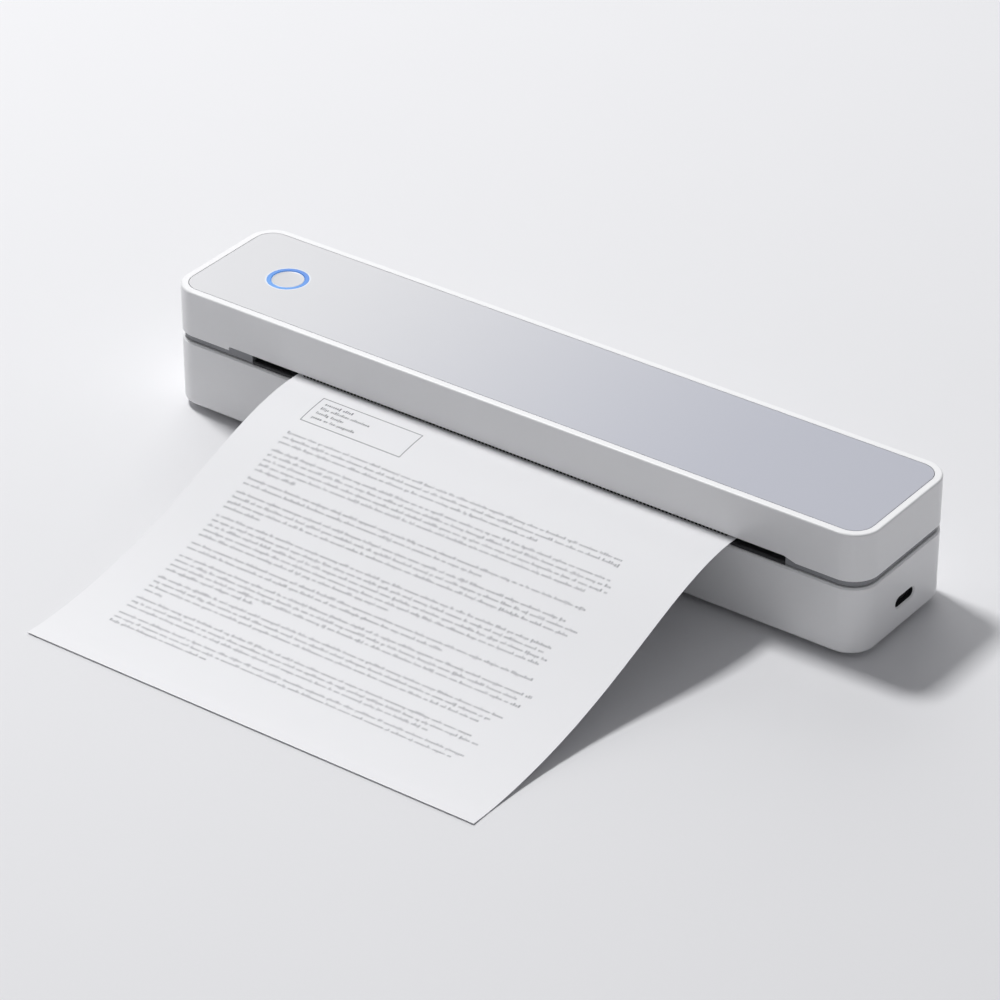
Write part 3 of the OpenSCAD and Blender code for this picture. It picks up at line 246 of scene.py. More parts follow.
@dataclass(frozen=True)
class Glow(Finish):
    """A lit plastic whose light turns from one colour to another across the ring.

    Attributes:
        near_light: colour of the light at the front.
        far_light: colour of the light at the back.
        power: strength of the light.
        half_mm: how far the front and the back are from the middle.
    """

    near_light: str = "#5AA4E4"
    far_light: str = "#3A70C4"
    power: float = 0.85
    half_mm: float = 8.7

    def light(self, tree: bpy.types.NodeTree, shader: bpy.types.Node,
              place: bpy.types.NodeSocket) -> None:
        """Adds the light, paler at the front of the ring and deeper at the back.

        Args:
            tree: the material's node tree.
            shader: the material's main shader.
            place: the point's object coordinates.
        """
        split = add_node(tree, "ShaderNodeSeparateXYZ", {}, {0: place})
        along = add_node(tree, "ShaderNodeMapRange", {
            "From Min": -self.half_mm * MM, "From Max": self.half_mm * MM}, {"Value": split.outputs[1]})
        mixed = add_node(tree, "ShaderNodeMix", {
            "data_type": "RGBA", MIX_A: linear(self.near_light), MIX_B: linear(self.far_light)},
            {0: along.outputs[0]})
        tree.links.new(mixed.outputs[MIX_RESULT], shader.inputs["Emission Color"])
        shader.inputs["Emission Strength"].default_value = self.power


@dataclass(frozen=True)
class Halo(Finish):
    """A satin skin with a painted glow of the ring's light near the ring, and a painted cool reflection
    along X.

    Attributes:
        halo: colour of the painted glow of the ring's light on it.
        centre_mm: the ring's middle, in X and Y.
        ring_mm: the ring's inner and outer radius.
        reach_mm: how far from the ring the painted glow fades out.
        power: strength of the painted glow at the ring.
        far: the colour at the far end of the span, a painted cool reflection.
        span_mm: where the colour starts to turn and where it ends, in X.
    """

    halo: str = "#BFE0FF"
    centre_mm: tuple[float, float] = (-129.9, 0.0)
    ring_mm: tuple[float, float] = (6.98, 8.7)
    reach_mm: float = 1.1
    power: float = 0.22
    far: str = "#B2B4BE"
    span_mm: tuple[float, float] = (-165.0, 120.0)

    def tint(self, tree: bpy.types.NodeTree, place: bpy.types.NodeSocket) -> bpy.types.NodeSocket:
        """Grades the colour along X from the base to a cooler grey: a painted reflection of the lights
        along the plate.

        Args:
            tree: the material's node tree.
            place: the point's object coordinates.

        Returns:
            The socket that carries the colour.
        """
        split = add_node(tree, "ShaderNodeSeparateXYZ", {}, {0: place})
        along = add_node(tree, "ShaderNodeMapRange", {
            "interpolation_type": "SMOOTHSTEP", "From Min": self.span_mm[0] * MM,
            "From Max": self.span_mm[1] * MM}, {"Value": split.outputs[0]})
        # painted reflection: the colour turns to a cooler grey along X
        graded = add_node(tree, "ShaderNodeMix", {"data_type": "RGBA", MIX_B: linear(self.far)}, {
            0: along.outputs[0], MIX_A: super().tint(tree, place)})
        return graded.outputs[MIX_RESULT]

    def light(self, tree: bpy.types.NodeTree, shader: bpy.types.Node,
              place: bpy.types.NodeSocket) -> None:
        """Adds a painted glow of the ring's light, as emission that fades with the distance from the ring's
        middle line.

        Args:
            tree: the material's node tree.
            shader: the material's main shader.
            place: the point's object coordinates.
        """
        centred = add_node(tree, "ShaderNodeMapping", {
            "Location": (-self.centre_mm[0] * MM, -self.centre_mm[1] * MM, 0.0), "Scale": (1.0, 1.0, 0.0)},
            {"Vector": place})
        radius = add_node(tree, "ShaderNodeVectorMath", {"operation": "LENGTH"}, {0: centred.outputs[0]})
        middle = sum(self.ring_mm) / 2
        off = add_node(tree, "ShaderNodeMath", {"operation": "SUBTRACT", 1: middle * MM},
                       {0: radius.outputs["Value"]})
        away = add_node(tree, "ShaderNodeMath", {"operation": "ABSOLUTE"}, {0: off.outputs[0]})
        edge = (self.ring_mm[1] - self.ring_mm[0]) / 2
        # painted glow: emission on the skin next to the ring
        fade = add_node(tree, "ShaderNodeMapRange", {
            "interpolation_type": "SMOOTHERSTEP", "From Min": edge * MM,
            "From Max": (edge + self.reach_mm) * MM, "To Min": self.power, "To Max": 0.0},
            {"Value": away.outputs[0]})
        tree.links.new(fade.outputs[0], shader.inputs["Emission Strength"])
        shader.inputs["Emission Color"].default_value = linear(self.halo)


@dataclass(frozen=True)
class Striped(Finish):
    """A surface with even stripes across X, such as conductors under a film or on glaze.

    Attributes:
        stripe: the stripes' colour.
        pitch_mm: distance between stripes.
        fill: width of a stripe, as a share of the pitch.
    """

    stripe: str = "#4A4B4E"
    pitch_mm: float = 1.0
    fill: float = 0.5

    def tint(self, tree: bpy.types.NodeTree, place: bpy.types.NodeSocket) -> bpy.types.NodeSocket:
        """Gives the colour with its stripes.

        Args:
            tree: the material's node tree.
            place: the point's object coordinates.

        Returns:
            The socket that carries the colour.
        """
        split = add_node(tree, "ShaderNodeSeparateXYZ", {}, {0: place})
        step = add_node(tree, "ShaderNodeMath", {"operation": "MULTIPLY", 1: 1 / (self.pitch_mm * MM)},
                        {0: split.outputs[0]})
        saw = add_node(tree, "ShaderNodeMath", {"operation": "FRACT"}, {0: step.outputs[0]})
        band = add_node(tree, "ShaderNodeMath", {"operation": "LESS_THAN", 1: self.fill},
                        {0: saw.outputs[0]})
        striped = add_node(tree, "ShaderNodeMix", {
            "data_type": "RGBA", MIX_A: linear(self.colour), MIX_B: linear(self.stripe)},
            {0: band.outputs[0]})
        return striped.outputs[MIX_RESULT]


@dataclass(frozen=True)
class Circuit(Finish):
    """Solder mask over copper tracks, as square-cornered lines in a lighter green.

    Attributes:
        track: the tracks' colour under the mask.
        cell_mm: size of the pattern of tracks.
    """

    track: str = "#2C7A4E"
    cell_mm: float = 2.4

    def tint(self, tree: bpy.types.NodeTree, place: bpy.types.NodeSocket) -> bpy.types.NodeSocket:
        """Gives the mask's colour with its tracks.

        Args:
            tree: the material's node tree.
            place: the point's object coordinates.

        Returns:
            The socket that carries the colour.
        """
        bricks = add_node(tree, "ShaderNodeTexBrick", {
            "Color1": linear(self.colour), "Color2": linear(self.colour), "Mortar": linear(self.track),
            "Scale": 1 / (self.cell_mm * MM), "Mortar Size": 0.08, "Mortar Smooth": 0.1,
            "Brick Width": 3.0, "Row Height": 0.5}, {"Vector": place})
        return bricks.outputs["Color"]


# Moulded ABS from a finely eroded tool: an even, neutral white with a soft satin sheen. The real grit of
# 0.1 mm is too fine to show, so it is drawn at 0.5 mm.
SHELL_WHITE = Finish("moulded_abs_white", "shell_white", "#F1F1F2", 0.3, grain_mm=0.5, relief_mm=0.004,
                     shade=0.01)
# Satin metallic lacquer on a moulded plate: fine flakes give it a silky sheen.
# Its colour turning cool along X is a painted reflection, and the glow round the ring is painted light.
PLATE_SATIN = Halo("satin_lacquer_plate", "plate_satin", "#D2D2D4", 0.5, grain_mm=0.35, relief_mm=0.002,
                   shade=0.015, metallic=0.2)
# The same lacquer on the button, whose shallow dish turns the sheen.
# It takes the same painted cool reflection along X, and a painted glow of the ring's light at its edge.
BUTTON_SATIN = Halo("satin_lacquer_button", "button_satin", "#CACACC", 0.46, grain_mm=0.35, relief_mm=0.002,
                    shade=0.015, metallic=0.25)
# Moulded ABS in mid grey: the quiet band between the white shells.
LINER_GREY = Finish("moulded_abs_grey", "liner_grey", "#8B8C90", 0.5, grain_mm=0.5, relief_mm=0.006)
# Glass-filled nylon: dark grey with a faintly mottled, dry surface.
DECK_GREY = Finish("glass_filled_nylon_dark", "deck_grey", "#2E2F31", 0.52, grain_mm=0.4, relief_mm=0.008,
                   shade=0.08)
# Moulded ABS in black: matt, so that inner parts stay in the dark.
INNER_BLACK = Finish("moulded_abs_black", "inner_black", "#1A1B1D", 0.55, grain_mm=0.6, relief_mm=0.008)
# Silicone rubber: dull, dusty black that takes no clear highlight.
FOOT_RUBBER = Finish("silicone_rubber_foot", "foot_rubber", "#2A2B2D", 0.78, grain_mm=0.4, relief_mm=0.015)
# Ground nitrile rubber: fine rings from the grinding wheel, so the roller shows a broken line of light.
PLATEN_RUBBER = Finish("ground_nitrile_roller", "platen_rubber", "#232427", 0.66, Grain.TURNED,
                       grain_mm=0.5, relief_mm=0.012)
# Zinc-plated steel: bright, slightly cool heads with a soft mirror.
SCREW_STEEL = Finish("zinc_plated_steel", "screw_steel", "#BCBEC2", 0.28, grain_mm=0.3, relief_mm=0.003,
                     metallic=1.0)
# Cold-rolled sheet steel: long faint streaks along the sheet.
PLATE_STEEL = Finish("rolled_sheet_steel", "plate_steel", "#B4B7BA", 0.38, Grain.ROLLED, grain_mm=0.5,
                     relief_mm=0.003, metallic=1.0)
# Turned free-cutting steel: bright, with fine rings round the shaft.
SHAFT_STEEL = Finish("turned_steel", "shaft_steel", "#C4C6C9", 0.22, Grain.TURNED, grain_mm=0.2,
                     relief_mm=0.001, metallic=1.0)
# Hard-drawn spring wire: darker and smooth, with a narrow highlight.
SPRING_STEEL = Finish("drawn_spring_wire", "spring_steel", "#A9ABAF", 0.3, grain_mm=0.2, relief_mm=0.001,
                      metallic=1.0)
# Stamped steel strip with a black oxide: its teeth stay nearly black before the white sheet.
TEAR_STEEL = Finish("black_oxide_steel_strip", "tear_steel", "#1B1C1E", 0.45, Grain.ROLLED, grain_mm=0.3,
                    relief_mm=0.002, metallic=0.6)
# Deep-drawn, plated steel can: smooth and bright, with faint rings.
MOTOR_STEEL = Finish("drawn_motor_can", "motor_steel", "#B0B2B6", 0.32, Grain.TURNED, grain_mm=0.3,
                     relief_mm=0.002, metallic=1.0)
# Folded, tin-plated shell: a thin bright rim inside the dark port.
PORT_STEEL = Finish("folded_tin_plate", "port_steel", "#9FA1A6", 0.28, Grain.ROLLED, grain_mm=0.2,
                    relief_mm=0.001, metallic=1.0)
# Stamped nickel strip: warm, bright tabs and pins.
CONTACT_NICKEL = Finish("nickel_strip", "contact_nickel", "#C8C5BA", 0.28, Grain.ROLLED, grain_mm=0.3,
                        relief_mm=0.002, metallic=1.0)
# Sintered bronze: dull gold with open pores.
BUSH_BRONZE = Finish("sintered_bronze", "bush_brass", "#B08A48", 0.4, grain_mm=0.25, relief_mm=0.008,
                    shade=0.1, metallic=1.0)
# Extruded aluminium: pale, with draw lines along its length.
HEAD_ALUMINIUM = Finish("extruded_aluminium", "head_aluminium", "#C2C5C9", 0.36, Grain.ROLLED, grain_mm=0.4,
                        relief_mm=0.004, metallic=1.0)
# Glazed alumina with printed conductors: creamy white with fine gold-grey lines. The real pitch of 0.125 mm
# is too fine to show, so it is drawn at 1 mm.
HEAD_CERAMIC = Striped("glazed_alumina", "head_ceramic", "#E9E5DA", 0.16, grain_mm=0.4, relief_mm=0.001,
                       coat=0.4, stripe="#BBAF92", pitch_mm=1.0, fill=0.55)
# Fired heater glaze: the thin, dark, glassy line that prints.
HEATER_GLAZE = Finish("heater_glaze", "inner_black", "#3A2A22", 0.14, grain_mm=0.3, relief_mm=0.001,
                      coat=0.5)
# Moulded acetal: creamy, waxy gears.
GEAR_ACETAL = Finish("moulded_acetal", "gear_nylon", "#E6E1D0", 0.45, grain_mm=0.5, relief_mm=0.004)
# Green solder mask over copper: glossy, with the tracks just showing.
BOARD_GREEN = Circuit("solder_mask_green", "board_green", "#1B5436", 0.3, grain_mm=1.2, relief_mm=0.006)
# Moulded epoxy: black, dry chip bodies.
CHIP_BLACK = Finish("moulded_epoxy", "chip_black", "#18191B", 0.5, grain_mm=0.2, relief_mm=0.004)
# Natural nylon: off-white, slightly waxy sockets.
CONNECTOR_WHITE = Finish("natural_nylon", "connector_white", "#E4E0D4", 0.45, grain_mm=0.4, relief_mm=0.003)
# Black nylon: a dark socket with a soft edge of light.
CONNECTOR_BLACK = Finish("black_nylon", "connector_black", "#1D1D1F", 0.45, grain_mm=0.4, relief_mm=0.003)
# Shrink film on a steel cell: glossy blue with small ripples.
CELL_WRAP = Finish("shrink_film_blue", "cell_wrap", "#2C6E9C", 0.26, grain_mm=2.5, relief_mm=0.02, coat=0.3)
# Extruded PVC insulation in black: a soft line of light along the lead.
LEAD_BLACK = Finish("pvc_lead_black", "lead_black", "#1A1A1C", 0.42, grain_mm=0.4, relief_mm=0.004)
# The same insulation in red: the battery's live lead stands out.
LEAD_RED = Finish("pvc_lead_red", "lead_red", "#A8231E", 0.42, grain_mm=0.4, relief_mm=0.004)
# Flat flexible cable: dark film with paler conductors at 1 mm.
RIBBON_BLACK = Striped("flat_flexible_cable", "ribbon_black", "#26272A", 0.34, grain_mm=0.5,
                       relief_mm=0.002, stripe="#4B4C50", pitch_mm=1.0, fill=0.6)
# Opal polycarbonate with blue lamps below it: an even, soft band of light.
RING_LIGHT = Glow("opal_polycarbonate_lit", "ring_light", "#3C6EB4", 0.35, grain_mm=0.5, relief_mm=0.001,
                  power=0.5)
# Clear epoxy lamps, lit: small pale blue points.
LED_BLUE = Glow("clear_epoxy_lamp", "led_blue", "#CFE2FF", 0.2, grain_mm=0.3, relief_mm=0.001, power=2.0)
# Coated thermal paper: a soft, cool white without gloss, over faint fibres.
PAPER_WHITE = Finish("thermal_paper", "paper_white", "#F1F1F3", 0.66, grain_mm=0.4, relief_mm=0.006,
                     shade=0.012)
# Developed thermal print: soft grey, a little uneven.
PRINT_GREY = Finish("thermal_print_grey", "paper_white", "#B2B2B7", 0.7, grain_mm=0.3, relief_mm=0.001,
                    shade=0.25)
# The same print where more dots were heated: darker.
PRINT_DARK = Finish("thermal_print_dark", "paper_white", "#88888D", 0.7, grain_mm=0.3, relief_mm=0.001,
                    shade=0.2)
# Matt studio board: a pale floor without gloss. It has no slot, because it isn't part of the printer.
STUDIO_BOARD = Finish("matt_studio_board", "", "#E7E7E9", 0.7, grain_mm=1.5, relief_mm=0.02, shade=0.01)


class Workshop:
    """Turns bmesh work in millimetres to finished pieces in metres."""

    @staticmethod
    def rounded_block(lo: Sequence[float], hi: Sequence[float], corner: float,
                      steps: int = 14) -> bmesh.types.BMesh:
        """Makes a block between two corners whose upright edges are round.

        Args:
            lo: the lowest corner.
            hi: the highest corner.
            corner: radius of the upright edges.
            steps: facets on each round.

        Returns:
            A new bmesh.
        """
        bm = Workshop.box(lo, hi)
        upright = [e for e in bm.edges if abs(e.verts[0].co.z - e.verts[1].co.z) > TINY]
        bmesh.ops.bevel(bm, geom=upright, offset=corner, offset_type="OFFSET", segments=steps,
                        profile=0.5, affect="EDGES", material=-1)
        return bm

    @staticmethod
    def end_face(bm: bmesh.types.BMesh, toward: Sequence[float]) -> bmesh.types.BMFace:
        """Finds the widest flat face that looks one way.

        Args:
            bm: the mesh to search.
            toward: the direction that the face looks.

        Returns:
            The face.
        """
        bm.normal_update()
        way = Vector(toward)
        return max((f for f in bm.faces if f.normal.dot(way) > FACING), key=lambda f: f.calc_area())

    @staticmethod
    def round_rim(bm: bmesh.types.BMesh, face: bmesh.types.BMFace, radius: float,
                  steps: int = 5) -> None:
        """Rounds the edge all round a face.

        Args:
            bm: the mesh that holds the face.
            face: the face whose rim is rounded.
            radius: the rim's radius.
            steps: facets across the round.
        """
        bmesh.ops.bevel(bm, geom=list(face.edges), offset=radius, offset_type="OFFSET", segments=steps,
                        profile=0.5, affect="EDGES", material=-1)

    @staticmethod
    def sink(bm: bmesh.types.BMesh, face: bmesh.types.BMFace, inset: float,
             depth: float) -> bmesh.types.BMFace:
        """Insets a face and pushes its middle in, as a pocket.

        Args:
            bm: the mesh that holds the face.
            face: the flat face to sink.
            inset: width of the rim that stays.
            depth: how deep the pocket goes.

        Returns:
            The pocket's floor.
        """
        bm.normal_update()
        inward = face.normal * -depth
        bmesh.ops.inset_region(bm, faces=[face], thickness=inset, use_even_offset=True)
        pushed = bmesh.ops.extrude_discrete_faces(bm, faces=[face])["faces"][0]
        bmesh.ops.translate(bm, verts=list(pushed.verts), vec=inward)
        return pushed

    @staticmethod
    def turned(profile: Sequence[tuple[float, float]], centre: Sequence[float], axis: Axis = Axis.Z,
               steps: int = Facets.WELL) -> bmesh.types.BMesh:
        """Spins an outline of radius and height round an axis, as on a lathe.

        Args:
            profile: radius and height of each point, in order.
            centre: the point where radius and height are 0.
            axis: the axis that the outline turns round.
            steps: facets round the turn.

        Returns:
            A new bmesh with its doubles merged and its faces outwards.
        """
        bm = bmesh.new()
        across = Vector((0, 1, 0)) if axis is Axis.X else Vector((1, 0, 0))
        middle = Vector(centre)
        verts = [bm.verts.new(middle + across * r + axis.value * h) for r, h in profile]
        edges = [bm.edges.new(pair) for pair in zip(verts, verts[1:])]
        bmesh.ops.spin(bm, geom=verts + edges, cent=middle, axis=axis.value, angle=math.tau, steps=steps,
                       use_merge=True)
        bmesh.ops.remove_doubles(bm, verts=list(bm.verts), dist=SAME_POINT)
        bmesh.ops.recalc_face_normals(bm, faces=list(bm.faces))
        return bm

    @classmethod
    def rod(cls, radius: float, foot: float, top: float, place: Sequence[float],
            steps: int) -> bmesh.types.BMesh:
        """Makes an upright round rod.

        Args:
            radius: its radius.
            foot: the height of its foot.
            top: the height of its top.
            place: the point at height 0 on its middle line.
            steps: facets round it.

        Returns:
            A new bmesh.
        """
        return cls.turned([(0, foot), (radius, foot), (radius, top), (0, top)], place, steps=steps)

    @staticmethod
    def box(lo: Sequence[float], hi: Sequence[float]) -> bmesh.types.BMesh:
        """Makes a block between two corners.

        Args:
            lo: the lowest corner.
            hi: the highest corner.

        Returns:
            A new bmesh.
        """
        bm = bmesh.new()
        Workshop.add_box(bm, lo, hi)
        return bm

    @staticmethod
    def add_box(bm: bmesh.types.BMesh, lo: Sequence[float], hi: Sequence[float]) -> None:
        """Adds a block between two corners to a mesh.

        Args:
            bm: the mesh that takes the block.
            lo: the lowest corner.
            hi: the highest corner.
        """
        start, end = Vector(lo), Vector(hi)
        size = Matrix.Diagonal((*(end - start), 1))
        bmesh.ops.create_cube(bm, size=1.0, matrix=Matrix.Translation((start + end) / 2) @ size)

    @staticmethod
    def prism(outline: Sequence[tuple[float, float]], axis: Axis, start: float,
              end: float) -> bmesh.types.BMesh:
        """Extrudes a flat outline along an axis.

        Args:
            outline: points in Y and Z for the X axis, or in X and Z for the Y axis.
            axis: the axis that the outline is extruded along.
            start: where it starts on that axis.
            end: where it ends.

        Returns:
            A new bmesh.
        """
        bm = bmesh.new()
        if axis is Axis.X:
            points = [(start, a, b) for a, b in outline]
        else:
            points = [(a, start, b) for a, b in outline]
        face = bm.faces.new([bm.verts.new(p) for p in points])
        made = bmesh.ops.extrude_face_region(bm, geom=[face])["geom"]
        moved = [g for g in made if isinstance(g, bmesh.types.BMVert)]
        bmesh.ops.translate(bm, verts=moved, vec=axis.value * (end - start))
        bmesh.ops.recalc_face_normals(bm, faces=list(bm.faces))
        return bm

    @staticmethod
    def pill(width: float, height: float, middle_z: float, steps: int = 16) -> list[tuple[float, float]]:
        """Gives the outline in Y and Z of a flat slot with round ends, about Y = 0.

        Args:
            width: its whole width.
            height: its height.
            middle_z: the height of its middle.
            steps: points round each end.

        Returns:
            The outline's points.
        """
        outline = []
        for side in (1, -1):
            for i in range(steps + 1):
                angle = math.pi * (i / steps - 0.5) + (0 if side > 0 else math.pi)
                outline.append((side * (width - height) / 2 + height / 2 * math.cos(angle),
                                middle_z + height / 2 * math.sin(angle)))
        return outline

    @staticmethod
    def join(parts: Iterable[bmesh.types.BMesh]) -> bmesh.types.BMesh:
        """Puts several meshes into one new mesh.

        Args:
            parts: the meshes, which are used up.

        Returns:
            A new bmesh.
        """
        whole = bmesh.new()
        for part in parts:
            mesh = bpy.data.meshes.new("part")
            part.to_mesh(mesh)
            part.free()
            whole.from_mesh(mesh)
            bpy.data.meshes.remove(mesh)
        return whole

    @staticmethod
    def from_node(node: str) -> bmesh.types.BMesh:
        """Copies a node's mesh in millimetres, with its loose triangles merged to flat faces.

        Args:
            node: the CAD node's name.

        Returns:
            A new bmesh.
        """
        bm = bmesh.new()
        bm.from_mesh(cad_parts[node].data)
        bmesh.ops.scale(bm, vec=(1 / MM,) * 3, verts=list(bm.verts))
        bmesh.ops.remove_doubles(bm, verts=list(bm.verts), dist=SAME_NODE_POINT)
        bmesh.ops.dissolve_limit(bm, angle_limit=math.radians(FLAT), use_dissolve_boundaries=False,
                                 verts=list(bm.verts), edges=list(bm.edges), delimit=set())
        bmesh.ops.recalc_face_normals(bm, faces=list(bm.faces))
        return bm

    @staticmethod
    def solids(node: str) -> list[tuple[Vector, Vector]]:
        """Gives the lowest and highest corner of each separate solid of a node, in millimetres.

        Args:
            node: the CAD node's name.

        Returns:
            One pair of corners for each solid, from left to right and front to back.
        """
        bm = Workshop.from_node(node)
        left = set(bm.verts)
        found = []
        while left:
            island = set()
            edge = [left.pop()]
            while edge:
                vert = edge.pop()
                island.add(vert)
                near = [e.other_vert(vert) for e in vert.link_edges]
                edge += [v for v in near if v in left]
                left.difference_update(near)
            found.append((Vector([min(v.co[i] for v in island) for i in range(3)]),
                          Vector([max(v.co[i] for v in island) for i in range(3)])))
        bm.free()
        return sorted(found, key=lambda pair: (round(pair[0].x, 2), round(pair[0].y, 2)))

    @staticmethod
    def mesh_object(name: str, bm: bmesh.types.BMesh, scale: float = MM) -> bpy.types.Object:
        """Writes a bmesh to a new object and frees the bmesh.

        Args:
            name: the object's name.
            bm: the mesh, in millimetres.
            scale: metres for each of its units.

        Returns:
            The object, linked to the scene.
        """
        mesh = bpy.data.meshes.new(name)
        bm.transform(Matrix.Scale(scale, 4))
        bm.to_mesh(mesh)
        bm.free()
        made = bpy.data.objects.new(name, mesh)
        bpy.context.scene.collection.objects.link(made)
        return made

    @classmethod
    def carve(cls, bm: bmesh.types.BMesh, tools: Iterable[bmesh.types.BMesh],
              operation: str = "DIFFERENCE") -> bmesh.types.BMesh:
        """Cuts tools out of a mesh, or joins them to it.

        Args:
            bm: the mesh that is cut, which is used up.
            tools: meshes in millimetres, which are used up.
            operation: the Boolean modifier's operation.

        Returns:
            A new bmesh with the result.
        """
        piece = cls.mesh_object("blank", bm, 1.0)
        cutters = [cls.mesh_object("cutter", tool, 1.0) for tool in tools]
        for cutter in cutters:
            step = piece.modifiers.new("carve", "BOOLEAN")
            step.operation = operation
            step.solver = "EXACT"
            step.object = cutter
        graph = bpy.context.evaluated_depsgraph_get()
        cut = bpy.data.meshes.new_from_object(piece.evaluated_get(graph))
        made = bmesh.new()
        made.from_mesh(cut)
        bpy.data.meshes.remove(cut)
        for old in (piece, *cutters):
            mesh = old.data
            bpy.data.objects.remove(old)
            bpy.data.meshes.remove(mesh)
        return made

    @staticmethod
    def dress(piece: bpy.types.Object, finish: Finish, body: str, stands_for: Iterable[str] = (),
              sharp: float = SHARP, edge_mm: float = 0.0) -> bpy.types.Object:
        """Gives a piece its finish, its smooth shading, its body and the nodes that it stands for.

        Args:
            piece: the finished object.
            finish: its surface.
            body: the body that it rides on.
            stands_for: CAD nodes that it replaces.
            sharp: edges that turn by more than this many degrees stay sharp.
            edge_mm: width of a small bevel on the sharp edges.

        Returns:
            The same object.
        """
        piece.data.materials.clear()
        piece.data.materials.append(finish.material())
        piece.data.polygons.foreach_set("use_smooth", [True] * len(piece.data.polygons))
        piece.data.set_sharp_from_angle(angle=math.radians(sharp))
        if edge_mm:
            ease = piece.modifiers.new("eased_edges", "BEVEL")
            ease.width = edge_mm * MM
            ease.segments = 2
            ease.limit_method = "ANGLE"
            ease.angle_limit = math.radians(sharp)
            ease.harden_normals = True
        weights = piece.modifiers.new("face_weights", "WEIGHTED_NORMAL")
        weights.mode = "FACE_AREA"
        weights.keep_sharp = True
        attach(piece, body)
        if stands_for:
            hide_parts(*stands_for)
        return piece


def low(node: str) -> Vector:
    """Gives a node's lowest corner in millimetres."""
    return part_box(node)[0] / MM


def high(node: str) -> Vector:
    """Gives a node's highest corner in millimetres."""
    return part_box(node)[1] / MM


def middle_line(lo: Vector, hi: Vector, axis: Axis) -> Vector:
    """Gives the point midway between two corners, brought to 0 along one axis.

    Args:
        lo: the lowest corner.
        hi: the highest corner.
        axis: the axis along which the point goes to 0.

    Returns:
        The point, from which heights along that axis are counted.
    """
    middle = (lo + hi) / 2
    return middle - axis.value * middle.dot(axis.value)


def quarter(steps: int) -> list[float]:
    """Gives the angles of a quarter turn, from 0 on, in equal steps."""
    return [math.pi / 2 * i / steps for i in range(steps + 1)]


@dataclass
class Studio:
    """The camera at the photograph's angle, the pale floor and the soft lights. Lengths in mm."""

    target: tuple[float, float, float] = (-12.7, -14.68, 0.0)
    azimuth: float = 36.08
    elevation: float = 31.73
    distance: float = 1793.8
    lens: float = 162.58
    sensor: float = 36.0
    sight: float = 100000.0
    floor_side: float = 12000.0
    key_from: tuple[float, float, float] = (-0.47, 0.095, 0.87)
    key_distance: float = 3200.0
    key_side: float = 520.0
    key_power: float = 72.0
    card_from: tuple[float, float, float] = (-0.55, 0.7, 0.5)
    card_distance: float = 4400.0
    card_side: float = 3200.0
    card_power: float = 46.0
    sky_colour: str = "#F3F4F8"
    sky_strength: float = 0.28

    def camera(self) -> None:
        """Places the camera by its angles, its distance and the point that it looks at."""
        data = bpy.data.cameras.new("camera")
        data.lens = self.lens
        data.sensor_width = self.sensor
        data.clip_end = self.sight * MM
        camera = bpy.data.objects.new("camera", data)
        side, rise = math.radians(self.azimuth), math.radians(self.elevation)
        back = Vector((math.sin(side) * math.cos(rise), -math.cos(side) * math.cos(rise), math.sin(rise)))
        camera.location = (Vector(self.target) + back * self.distance) * MM
        camera.rotation_euler = (math.pi / 2 - rise, 0.0, side)
        bpy.context.scene.collection.objects.link(camera)
        bpy.context.scene.camera = camera

    def floor(self) -> None:
        """Lays the pale floor, which isn't part of the object."""
        bm = bmesh.new()
        bmesh.ops.create_grid(bm, x_segments=1, y_segments=1, size=self.floor_side / 2)
        floor = Workshop.mesh_object("floor", bm)
        floor.data.materials.append(STUDIO_BOARD.material())

    def area_light(self, name: str, toward: Sequence[float], distance: float, side: float,
                   power: float) -> None:
        """Hangs a square soft light that looks at the target.

        Args:
            name: the light's name.
            toward: direction from the target to the light.
            distance: how far off it hangs.
            side: length of its side.
            power: its power in watts.
        """
        data = bpy.data.lights.new(name, "AREA")
        data.shape = "SQUARE"
        data.size = side * MM
        data.energy = power
        lamp = bpy.data.objects.new(name, data)
        direction = Vector(toward).normalized()
        lamp.location = (Vector(self.target) + direction * distance) * MM
        lamp.rotation_euler = direction.to_track_quat("Z", "Y").to_euler()
        lamp.visible_camera = False
        bpy.context.scene.collection.objects.link(lamp)

    def build(self) -> None:
        """Sets the camera, the floor, the lights and the sky, with plain display colours."""
        self.camera()
        self.floor()
        self.area_light("key", self.key_from, self.key_distance, self.key_side, self.key_power)
        self.area_light("card", self.card_from, self.card_distance, self.card_side, self.card_power)
        world = bpy.data.worlds.new("sky")
        world.use_nodes = True
        sky = world.node_tree.nodes["Background"]
        sky.inputs["Color"].default_value = linear(self.sky_colour)
        sky.inputs["Strength"].default_value = self.sky_strength
        bpy.context.scene.world = world
        bpy.context.scene.view_settings.view_transform = "Standard"


